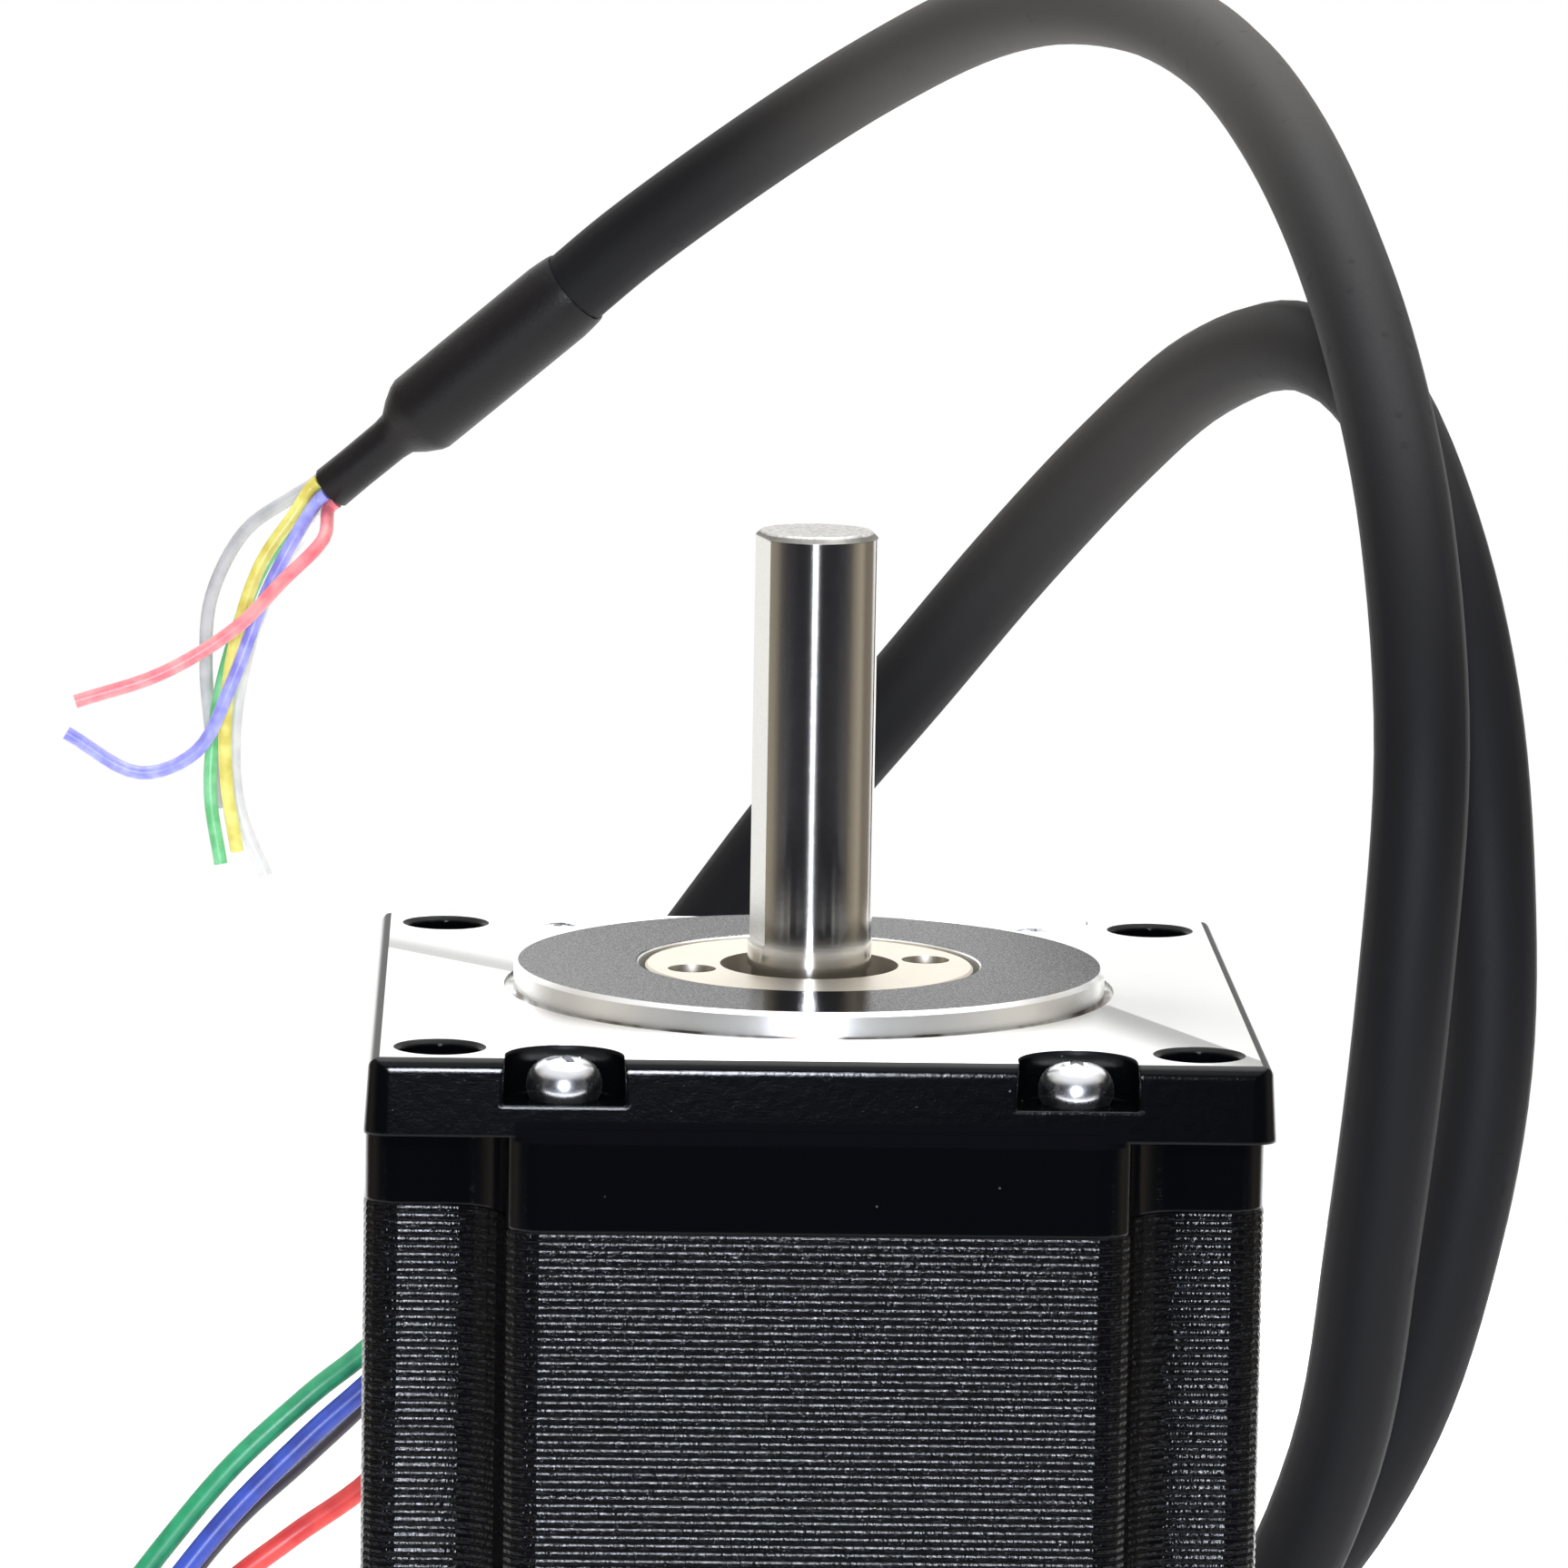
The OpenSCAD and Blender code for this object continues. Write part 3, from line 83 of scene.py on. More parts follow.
BODY_HALF = 28.2
NOTCH_W = 8.85
NOTCH_FILLET = 3.8
ARM_HALF = BODY_HALF - NOTCH_W
ARM_ROUND = 2.15
FLANGE_T = 4.8
BELL_H = 10.8
STACK_TOP = -BELL_H
STACK_L = 54
PILOT_R = 19.05
PILOT_H = 1.6
PILOT_CHAMFER = 0.3
GROOVE_W = 0.6
GROOVE_D = 0.25
SHAFT_R = 4
SHAFT_OUT = 29.6
FLAT_DEPTH = 0.5
FLAT_START = 3
FLAT_TURN = 13
POCKET_D = 2.85
SCREW_SIDE = 3.5
SCREW_INSET = 3.1
SCREW_L = 69.6
SHANK_R = 1.45
CABLE_R = 3.4
SLEEVE_R = 3.8
SLEEVE_TAPER_L = 2.5
SLEEVE_NECK_L = 8
# From the end of a sleeve to the start of its wires
WIRE_GAP = 0.15

# Routes of the cables and wires, the same points as the solids'

encoder_route = [
    (9, 42, -87), (9, 48, -87), (13, 60, -83), (23, 68.5, -73.5), (34.5, 68.5, -60.5),
    (40.5, 63.5, -45), (42.5, 59.5, -28), (44, 57, -10), (45, 59, 7), (44.5, 68.5, 21.5),
    (43, 83, 32.5), (41, 99.5, 40.5), (38.5, 116.5, 46.5), (35.5, 133.5, 50.5),
    (31.5, 150.5, 52.5), (26, 167.5, 52.5), (19.5, 184, 50), (11.5, 199, 44.5),
    (2, 212, 37), (-9.5, 221.5, 27.5), (-15, 224, 22.5),
]
encoder_end = (-35.5, 230.5, 4.5)
motor_route = [
    (-9, 42, -87), (-9, 48, -87), (-6.5, 58.5, -86), (-2, 67, -83.5), (7.5, 75, -79),
    (19, 79.5, -73), (30, 80, -65.5), (40, 78, -56), (46, 74.5, -44.5), (49.5, 72.5, -31.5),
    (51.5, 72, -18), (51.5, 73.5, -4.5), (50.5, 78, 8.5), (48, 84.5, 20), (44.5, 94.5, 28.5),
    (39.5, 106.5, 31), (33.5, 118.5, 27.5), (27.5, 128, 20.5), (20, 134.5, 11), (12, 138, 0.5),
    (3.5, 139, -10), (-5, 138, -21.5),
]
motor_end = (-20, 134.5, -40.5)
# For each wire: its angle round the sleeve in degrees, its length in metres, its points
encoder_wires = {
    "yellow": (240, 0.0354, [(-38.5, 229.5, 2.5), (-41.5, 229, -2), (-43.5, 229, -8),
                             (-44.5, 229.5, -14.5), (-44.5, 230, -21.5), (-43.5, 230.5, -28)]),
    "grey": (300, 0.0365, [(-39, 231.5, 3.5), (-43, 232, 0.5), (-46, 233, -5.5),
                           (-46.5, 234.5, -12), (-46, 236, -18.5), (-45.5, 236, -25)]),
    "green": (0, 0.0375, [(-38.5, 233, 1.5), (-41.5, 234, -3), (-44, 234.5, -9.5),
                          (-45.5, 234, -16), (-46, 233, -23), (-45, 232.5, -29.5)]),
    "white": (60, 0.0388, [(-38, 234, 0), (-41, 236, -5.5), (-43, 236.5, -11.5),
                           (-44, 236.5, -18.5), (-43.5, 236, -25), (-41, 235, -31)]),
    "blue": (180, 0.039, [(-38.5, 228, 0.5), (-41, 227.5, -4.5), (-44, 226.5, -12.5),
                          (-47, 226.5, -18.5), (-52, 226.5, -20.5), (-58.5, 226.5, -17)]),
    "red": (120, 0.0315, [(-36, 226.5, 0.5), (-39.5, 224.5, -3), (-43.5, 223, -7),
                          (-50, 222, -11), (-57.5, 221.5, -13.5)]),
}
motor_wires = {
    "green": (270, 0.0448, [(-25, 133.5, -44), (-29, 132, -51), (-34.5, 130.5, -55.5),
                            (-40.5, 129.5, -61), (-45.5, 129, -67), (-50, 128.5, -73)]),
    "blue": (180, 0.0464, [(-23.5, 131.5, -45), (-28, 130.5, -52.5), (-34.5, 129, -58.5),
                           (-40.5, 128, -64.5), (-45, 127, -70), (-49, 126, -75.5)]),
    "black": (0, 0.0465, [(-23, 136.5, -46), (-28.5, 136, -55), (-35, 135, -61.5),
                          (-40.5, 134, -66.5), (-44.5, 133.5, -71.5), (-47.5, 133, -77.5)]),
    "red": (90, 0.0463, [(-21.5, 134.5, -47), (-24.5, 134, -56), (-29.5, 132, -62.5),
                         (-36, 130, -67), (-41.5, 129.5, -71.5), (-45, 129.5, -77.5)]),
}

Lead = namedtuple("Lead", "route end neck_r length wires wire_r ring_share")
leads = {
    "encoder": Lead(route=encoder_route, end=encoder_end, neck_r=2.0, length=0.329,
                    wires=encoder_wires, wire_r=0.6, ring_share=2.3),
    "motor": Lead(route=motor_route, end=motor_end, neck_r=2.5, length=0.2725,
                  wires=motor_wires, wire_r=0.88, ring_share=1.6),
}
# How many pieces the curve has between two points of a route
ROUTE_STEPS = 6


def deselect():
    if bpy.context.object and bpy.context.object.mode != "OBJECT":
        bpy.ops.object.mode_set(mode="OBJECT")
    bpy.ops.object.select_all(action="DESELECT")


def only(piece):
    """Selects one piece and nothing else."""
    deselect()
    piece.select_set(True)
    bpy.context.view_layer.objects.active = piece


def wire_start(lead, angle):
    """The first two points of a wire, which leaves its sleeve straight."""
    along = (Vector(lead.end) - Vector(lead.route[-1])).normalized()
    up = (Vector((0, 1, 0)) - along * along.y).normalized()
    side = along.cross(up)
    turn = math.radians(angle)
    ring = lead.ring_share * lead.wire_r * (math.cos(turn) * up + math.sin(turn) * side)
    return [Vector(lead.end) + (WIRE_GAP + ahead) * along + ring
            for ahead in (0, 1.5 * lead.wire_r)]


def smooth_route(points):
    """Points in metres on one smooth curve through the route's own points."""
    p = [Vector(point) * MM for point in points]
    p = [2 * p[0] - p[1]] + p + [2 * p[-1] - p[-2]]
    curve = []
    for a, b, c, d in zip(p, p[1:], p[2:], p[3:]):
        knots = [0]
        for m, n in ((a, b), (b, c), (c, d)):
            knots.append(knots[-1] + (n - m).length ** 0.5)
        t0, t1, t2, t3 = knots
        for step in range(ROUTE_STEPS):
            t = t1 + (t2 - t1) * step / ROUTE_STEPS
            ab = (t1 - t) / (t1 - t0) * a + (t - t0) / (t1 - t0) * b
            bc = (t2 - t) / (t2 - t1) * b + (t - t1) / (t2 - t1) * c
            cd = (t3 - t) / (t3 - t2) * c + (t - t2) / (t3 - t2) * d
            abc = (t2 - t) / (t2 - t0) * ab + (t - t0) / (t2 - t0) * bc
            bcd = (t3 - t) / (t3 - t1) * bc + (t - t1) / (t3 - t1) * cd
            curve.append((t2 - t) / (t2 - t1) * abc + (t - t1) / (t2 - t1) * bcd)
    return curve + [p[-2]]


def round_cord(name, points, radius):
    """A cord drawn as a curve with a round section, then made a mesh, and its route."""
    route = smooth_route(points)
    data = bpy.data.curves.new(name, "CURVE")
    data.dimensions = "3D"
    data.bevel_depth = radius * MM
    data.bevel_resolution = 6
    data.use_fill_caps = True
    spline = data.splines.new("POLY")
    spline.points.add(len(route) - 1)
    for point, place in zip(spline.points, route):
        point.co = (*place, 1)
    spline.use_smooth = True
    cord = bpy.data.objects.new(name, data)
    scene.collection.objects.link(cord)
    only(cord)
    bpy.ops.object.convert(target="MESH")
    bpy.ops.object.shade_smooth_by_angle(angle=math.radians(50))
    return bpy.context.object, route


# Modelling steps that the pieces share

Face = namedtuple("Face", "center normal")


def turned(name, profile, sides=40):
    """A round piece on +Z, drawn out ring by ring through (height, radius) in mm."""
    deselect()
    height, radius = profile[0]
    bpy.ops.mesh.primitive_circle_add(
        vertices=sides, radius=radius * MM, fill_type="NGON", location=(0, 0, height * MM))
    piece = bpy.context.object
    piece.name = piece.data.name = name
    bpy.ops.object.transform_apply(location=True, rotation=False, scale=False)
    bpy.ops.object.mode_set(mode="EDIT")
    bpy.ops.mesh.select_all(action="SELECT")
    for next_height, next_radius in profile[1:]:
        bpy.ops.mesh.extrude_region_move(
            TRANSFORM_OT_translate={"value": (0, 0, (next_height - height) * MM)})
        share = next_radius / radius
        bpy.ops.transform.resize(value=(share, share, 1),
                                 center_override=(0, 0, next_height * MM))
        height, radius = next_height, next_radius
    bpy.ops.mesh.select_all(action="SELECT")
    bpy.ops.mesh.normals_make_consistent(inside=False)
    bpy.ops.object.mode_set(mode="OBJECT")
    return piece


def set_down(piece, start, end):
    """Moves a finished piece to its start, with its +Z turned to point to its end."""
    turn = (Vector(end) - Vector(start)).to_track_quat("Z", "Y").to_matrix().to_4x4()
    piece.matrix_world = Matrix.Translation(Vector(start) * MM) @ turn
    only(piece)
    bpy.ops.object.transform_apply(location=True, rotation=True, scale=True)


def edit_where(piece, kind, wanted):
    """Opens a piece in edit mode with only the wanted corners, edges or faces selected."""
    only(piece)
    bpy.ops.object.mode_set(mode="EDIT")
    bpy.ops.mesh.select_mode(type=kind)
    bpy.ops.mesh.select_all(action="DESELECT")
    shape = bmesh.from_edit_mesh(piece.data)
    if kind == "FACE":
        for face in shape.faces:
            face.select_set(wanted(Face(face.calc_center_median(), face.normal)))
    else:
        for part in shape.verts if kind == "VERT" else shape.edges:
            part.select_set(wanted(part))
    bmesh.update_edit_mesh(piece.data)


def draw_in(distance):
    """Moves what is selected towards the motor's axis, by a distance at the body's side."""
    share = 1 - distance / BODY_HALF
    bpy.ops.transform.resize(value=(share, share, 1), center_override=(0, 0, 0))


# The leads: two cables with their shrink sleeves, and the wires that come out of these

def shrink_sleeve(name, lead):
    """A sleeve shrunk over the cable's end and then over the bundle of wires."""
    cable_end, neck_r = lead.route[-1], lead.neck_r
    length = (Vector(lead.end) - Vector(cable_end)).length
    body = length - SLEEVE_NECK_L - SLEEVE_TAPER_L
    sleeve = turned(name + "_lead_sleeve", [
        (-1.2, CABLE_R + 0.02), (-1.2, CABLE_R + 0.14), (-0.9, CABLE_R + 0.22),
        (0, SLEEVE_R - 0.08), (1, SLEEVE_R), (body * 0.33, SLEEVE_R), (body * 0.66, SLEEVE_R),
        (body - 0.6, SLEEVE_R - 0.02), (body, SLEEVE_R - 0.2), (body + 1.2, neck_r + 0.95),
        (body + 2.3, neck_r + 0.15), (body + 3.4, neck_r), (length - 3, neck_r - 0.04),
        (length - 0.15, neck_r), (length, neck_r - 0.12), (length, neck_r - 0.4),
        (length - 1.2, neck_r - 0.45)])
    only(sleeve)
    bpy.ops.object.shade_smooth_by_angle(angle=math.radians(50))
    set_down(sleeve, cable_end, lead.end)
    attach(sleeve, "stator")
    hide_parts(name + "_cable_sleeve")
    return sleeve


# Each new piece with the name of its finish
new_pieces = []
sleeves = {name: shrink_sleeve(name, lead) for name, lead in leads.items()}
for name, lead in leads.items():
    cable, path = round_cord(name + "_lead", lead.route, CABLE_R)
    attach(cable, "stator")
    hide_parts(name + "_cable")
    new_pieces += [(cable, "cable_jacket"), (sleeves[name], "shrink_sleeve")]
for name, lead in leads.items():
    for colour, (angle, length, route) in lead.wires.items():
        start = wire_start(lead, angle)
        wire, path = round_cord(f"{name}_lead_{colour}", start + route, lead.wire_r)
        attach(wire, "stator")
        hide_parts(f"{name}_wire_{colour}")
        "wire_" + colour
        tuple(start[0] * MM)
        2 * lead.wire_r * MM
        # Painted glare: on the encoder's slimmer wires, further back, three colours are painted
        # paler than on the motor's, as if washed out by light
        painted_glare = name == "encoder" and colour in ("green", "blue", "red")
        new_pieces.append((wire, ("thin_" if painted_glare else "wire_") + colour))


# The stack's sheet edges and the case screws

SHEET_T = 0.5
SHEET_PROUD = 0.1
# One sheet, down its edge: the depth below its top, and how far back it stands there
SHEET_EDGE = ((0.08, 0.035), (0.2, 0.005), (0.42, 0.0), (SHEET_T, 0.08))
SHEET_WANDER_SHARE = 0.0005
END_LAP = 1
# How near corners lie that are taken for one
MESH_PLAY = 0.01 * MM


def stack_sheets():
    """The rolled edges of the laminations, one under the other round the stack."""
    half, arm = (BODY_HALF + SHEET_PROUD) * MM, (ARM_HALF + SHEET_PROUD) * MM
    deselect()
    bpy.ops.mesh.primitive_grid_add(x_subdivisions=3, y_subdivisions=3, size=2 * half,
                                    location=(0, 0, STACK_TOP * MM))
    piece = bpy.context.object
    piece.name = piece.data.name = "stack_sheets"
    bpy.ops.object.transform_apply(location=True, rotation=False, scale=False)
    # The middle third of the grid becomes as wide as the arms, and its corners are cut out
    edit_where(piece, "VERT", lambda v: abs(v.co.x) < half / 2)
    bpy.ops.transform.resize(value=(3 * arm / half, 1, 1), center_override=(0, 0, 0))
    edit_where(piece, "VERT", lambda v: abs(v.co.y) < half / 2)
    bpy.ops.transform.resize(value=(1, 3 * arm / half, 1), center_override=(0, 0, 0))
    edit_where(piece, "FACE", lambda f: min(abs(f.center.x), abs(f.center.y)) > arm)
    bpy.ops.mesh.delete(type="FACE")
    bpy.ops.mesh.select_all(action="SELECT")
    bpy.ops.mesh.dissolve_limited(angle_limit=math.radians(5))
    # The corners inside the notches are rounded first, then those at the ends of the arms
    edit_where(piece, "VERT", lambda v: max(abs(v.co.x), abs(v.co.y)) < (half + arm) / 2)
    bpy.ops.mesh.bevel(affect="VERTICES", offset=NOTCH_FILLET * MM, segments=6)
    edit_where(piece, "VERT", lambda v: min(abs(half - abs(v.co.x)) + abs(arm - abs(v.co.y)),
                                            abs(half - abs(v.co.y)) + abs(arm - abs(v.co.x)))
               < MESH_PLAY)
    bpy.ops.mesh.bevel(affect="VERTICES", offset=ARM_ROUND * MM, segments=4)
    bpy.ops.mesh.select_all(action="SELECT")
    bpy.ops.mesh.delete(type="ONLY_FACE")
    bpy.ops.mesh.select_all(action="SELECT")
    # The edge of the top sheet, drawn out downwards, and then all the others from it
    depth, back = 0, SHEET_EDGE[-1][1]
    draw_in(back)
    for next_depth, next_back in SHEET_EDGE:
        bpy.ops.mesh.extrude_region_move(
            TRANSFORM_OT_translate={"value": (0, 0, (depth - next_depth) * MM)})
        draw_in(next_back - back)
        depth, back = next_depth, next_back
    bpy.ops.object.mode_set(mode="OBJECT")
    rows = piece.modifiers.new("sheets", "ARRAY")
    rows.count = round(STACK_L / SHEET_T)
    rows.use_relative_offset = False
    rows.use_constant_offset = True
    rows.constant_offset_displace = (0, 0, -SHEET_T * MM)
    rows.use_merge_vertices = True
    rows.merge_threshold = MESH_PLAY / 2
    bpy.ops.object.modifier_apply(modifier=rows.name)
    # Each sheet stands out a little more or less than the next
    for vertex in piece.data.vertices:
        row = (STACK_TOP * MM - vertex.co.z) / (SHEET_T * MM)
        if 0.05 < row % 1 < 0.95:
            sheet = math.floor(row)
            wander = SHEET_WANDER_SHARE * math.sin(12.9 * sheet) * math.sin(3.1 * sheet)
            vertex.co.x *= 1 + wander
            vertex.co.y *= 1 + wander
    # Both ends turn in to the stack, and a wall inside it closes the piece
    for end in (STACK_TOP * MM, (STACK_TOP - STACK_L) * MM):
        edit_where(piece, "EDGE", lambda e: all(abs(v.co.z - end) < MESH_PLAY for v in e.verts))
        bpy.ops.mesh.extrude_region_move(TRANSFORM_OT_translate={"value": (0, 0, 0)})
        draw_in(END_LAP)
    edit_where(piece, "EDGE", lambda e: e.is_boundary)
    bpy.ops.mesh.bridge_edge_loops()
    bpy.ops.mesh.select_all(action="SELECT")
    bpy.ops.mesh.normals_make_consistent(inside=False)
    only(piece)
    bpy.ops.object.shade_smooth_by_angle(angle=math.radians(8))
    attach(piece, "stator")
    return piece


# The screw's outline as heights over its seat and radii
SCREW_SHANK = [(-SCREW_L, SHANK_R - 0.35), (0.4 - SCREW_L, SHANK_R), (-0.1, SHANK_R)]
SCREW_HEAD = [(0, 2.12), (0.15, 2.2), (0.4, 2.31), (0.75, 2.36), (1.1, 2.34), (1.45, 2.26),
              (1.75, 2.12), (2.0, 1.93), (2.2, 1.68), (2.37, 1.35), (2.5, 0.95),
              (2.58, 0.5), (2.6, 0.3)]
# Which way each screw lies from the axis, and how far its recess is turned, in degrees
SCREW_PLACES = ((-1, -1, 20), (1, -1, 38), (1, 1, 5), (-1, 1, 62))
RECESS_W = 2.7
RECESS_SLOT = 0.62
RECESS_FLOOR = 1.1
RECESS_H = 1.7
RECESS_EDGE_R = 0.12
RECESS_FLOOR_SHARES = (0.42, 0.6, 1)


def case_screw(name, place, turn):
    """A long screw with a rounded pan head and a cross recess."""
    screw = turned(name, SCREW_SHANK + SCREW_HEAD, 48)
    for quarter in (0, 90):
        bpy.ops.mesh.primitive_cube_add(size=1, location=(0, 0, 0))
        cutter = bpy.context.object
        bpy.ops.object.mode_set(mode="EDIT")
        bpy.ops.transform.resize(value=(RECESS_W * MM, RECESS_SLOT * MM, RECESS_H * MM))
        bpy.ops.transform.translate(value=(0, 0, (RECESS_FLOOR + RECESS_H / 2) * MM))
        # The recess narrows to its floor
        edit_where(cutter, "FACE", lambda f: f.normal.z < -0.5)
        bpy.ops.transform.resize(value=RECESS_FLOOR_SHARES)
        edit_where(cutter, "EDGE", lambda e: abs(e.verts[0].co.z - e.verts[1].co.z) > MM)
        bpy.ops.mesh.bevel(offset=RECESS_EDGE_R * MM, segments=2)
        bpy.ops.object.mode_set(mode="OBJECT")
        cutter.rotation_euler = (0, 0, math.radians(quarter))
        only(screw)
        cut = screw.modifiers.new("recess", "BOOLEAN")
        cut.operation = "DIFFERENCE"
        cut.solver = "EXACT"
        cut.object = cutter
        bpy.ops.object.modifier_apply(modifier=cut.name)
        bpy.data.objects.remove(cutter)
    screw.rotation_euler = (0, 0, math.radians(turn))
    screw.location = Vector(place) * MM
    only(screw)
    bpy.ops.object.transform_apply(location=True, rotation=True, scale=True)
    bpy.ops.object.shade_smooth_by_angle(angle=math.radians(35))
    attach(screw, "stator")
    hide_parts("case_screws")
    return screw


new_pieces.append((stack_sheets(), "laminations"))
for number, (x_side, y_side, turn) in enumerate(SCREW_PLACES, 1):
    place = (x_side * (ARM_HALF - SCREW_SIDE), y_side * (BODY_HALF - SCREW_INSET), -POCKET_D)
    new_pieces.append((case_screw(f"case_screw_{number}", place, turn), "nickel_screw"))


# Finishes

class Signal:
    """An output of a node. Sums on it add the nodes that work them out."""

    def __init__(self, nodes, socket):
        self.nodes = nodes
        self.socket = socket

    def __add__(self, other):
        return self.nodes.maths("ADD", self, other)

    def __radd__(self, other):
        return self.nodes.maths("ADD", other, self)

    def __sub__(self, other):
        return self.nodes.maths("SUBTRACT", self, other)

    def __rsub__(self, other):
        return self.nodes.maths("SUBTRACT", other, self)

    def __mul__(self, other):
        return self.nodes.maths("MULTIPLY", self, other)

    def __rmul__(self, other):
        return self.nodes.maths("MULTIPLY", other, self)

    def __truediv__(self, other):
        return self.nodes.maths("DIVIDE", self, other)

    def __pow__(self, other):
        return self.nodes.maths("POWER", self, other)

    def rising(self, low, high):
        """0 below low, 1 above high, and a smooth step between them."""
        return self.nodes.node(
            "MapRange", {"interpolation_type": "SMOOTHSTEP"},
            {"Value": self, "From Min": low, "From Max": high})

    def falling(self, low, high):
        """1 below low, 0 above high, and a smooth step between them."""
        return 1 - self.rising(low, high)


class Nodes:
    """A tree of shader nodes."""

    def __init__(self, tree):
        self.tree = tree
        self.tree.nodes.clear()

    def node(self, kind, settings=None, values=None, output=0):
        """A new node with its settings and the values or links of its sockets."""
        made = self.tree.nodes.new("ShaderNode" + kind)
        for key, value in (settings or {}).items():
            if key == "stops":
                ramp = made.color_ramp
                while len(ramp.elements) < len(value):
                    ramp.elements.new(1)
                for element, (position, colour) in zip(ramp.elements, value):
                    element.position = position
                    element.color = (*colour, 1)
            else:
                setattr(made, key, value)
        for key, value in (values or {}).items():
            socket = made.inputs[key]
            if isinstance(value, Signal):
                self.tree.links.new(value.socket, socket)
            elif socket.type == "RGBA" and len(value) == 3:
                socket.default_value = (*value, 1)
            else:
                socket.default_value = value
        return Signal(self, made.outputs[output]) if made.outputs else None

    def maths(self, operation, *values):
        return self.node("Math", {"operation": operation}, dict(enumerate(values)))

    def split(self, vector):
        return [self.node("SeparateXYZ", {}, {0: vector}, output) for output in "XYZ"]

    def blend(self, share, low, high):
        """A colour that goes from low to high with share."""
        return self.node("Mix", {"data_type": "RGBA"}, {0: share, 6: low, 7: high}, 2)

    def mix(self, share, low, high):
        """A surface that goes from one shader to another with share."""
        return self.node("MixShader", {}, {0: share, 1: low, 2: high})


class Finish(Nodes):
    """One material, with the place on the motor in millimetres."""

    def __init__(self, name):
        self.material = bpy.data.materials.new(name)
        self.material.use_nodes = True
        super().__init__(self.material.node_tree)
        metres = self.node("TexCoord", output="Object")
        self.place = self.node("VectorMath", {"operation": "SCALE"},
                               {0: metres, "Scale": 1 / MM})
        self.x, self.y, self.z = self.split(self.place)

    def radius(self):
        """The distance from the shaft's axis in millimetres."""
        return (self.x * self.x + self.y * self.y) ** 0.5

    def towards(self, angle):
        """The distance from the shaft's axis in a direction, in degrees from +X."""
        turn = math.radians(angle)
        return self.x * math.cos(turn) + self.y * math.sin(turn)

    def stretched(self, stretch):
        return self.node("VectorMath", {"operation": "MULTIPLY"}, {0: self.place, 1: stretch})

    def noise(self, per_mm, detail=2.0, roughness=0.5, stretch=None):
        place = self.stretched(stretch) if stretch else self.place
        return self.node("TexNoise", {}, {"Vector": place, "Scale": per_mm,
                                          "Detail": detail, "Roughness": roughness})

    def specks(self, per_mm, size, stretch=None):
        """Small round specks, 1 in the middle of each and 0 away from them."""
        place = self.stretched(stretch) if stretch else self.place
        near = self.node("TexVoronoi", {"feature": "F1"}, {"Vector": place, "Scale": per_mm},
                         "Distance")
        return near.falling(size * 0.4, size)

    def bump(self, height, edge=0.0):
        """A normal from a height in millimetres, with the sharp edges rounded by edge."""
        values = {"Height": height, "Distance": MM}
        if edge:
            values["Normal"] = self.node("Bevel", {"samples": 6}, {"Radius": edge * MM})
        return self.node("Bump", {}, values, "Normal")

    def shader(self, **values):
        named = {key.replace("_", " "): value for key, value in values.items()}
        return self.node("BsdfPrincipled", {}, named)

    def done(self, surface):
        self.node("OutputMaterial", {}, {"Surface": surface})
        return self.material


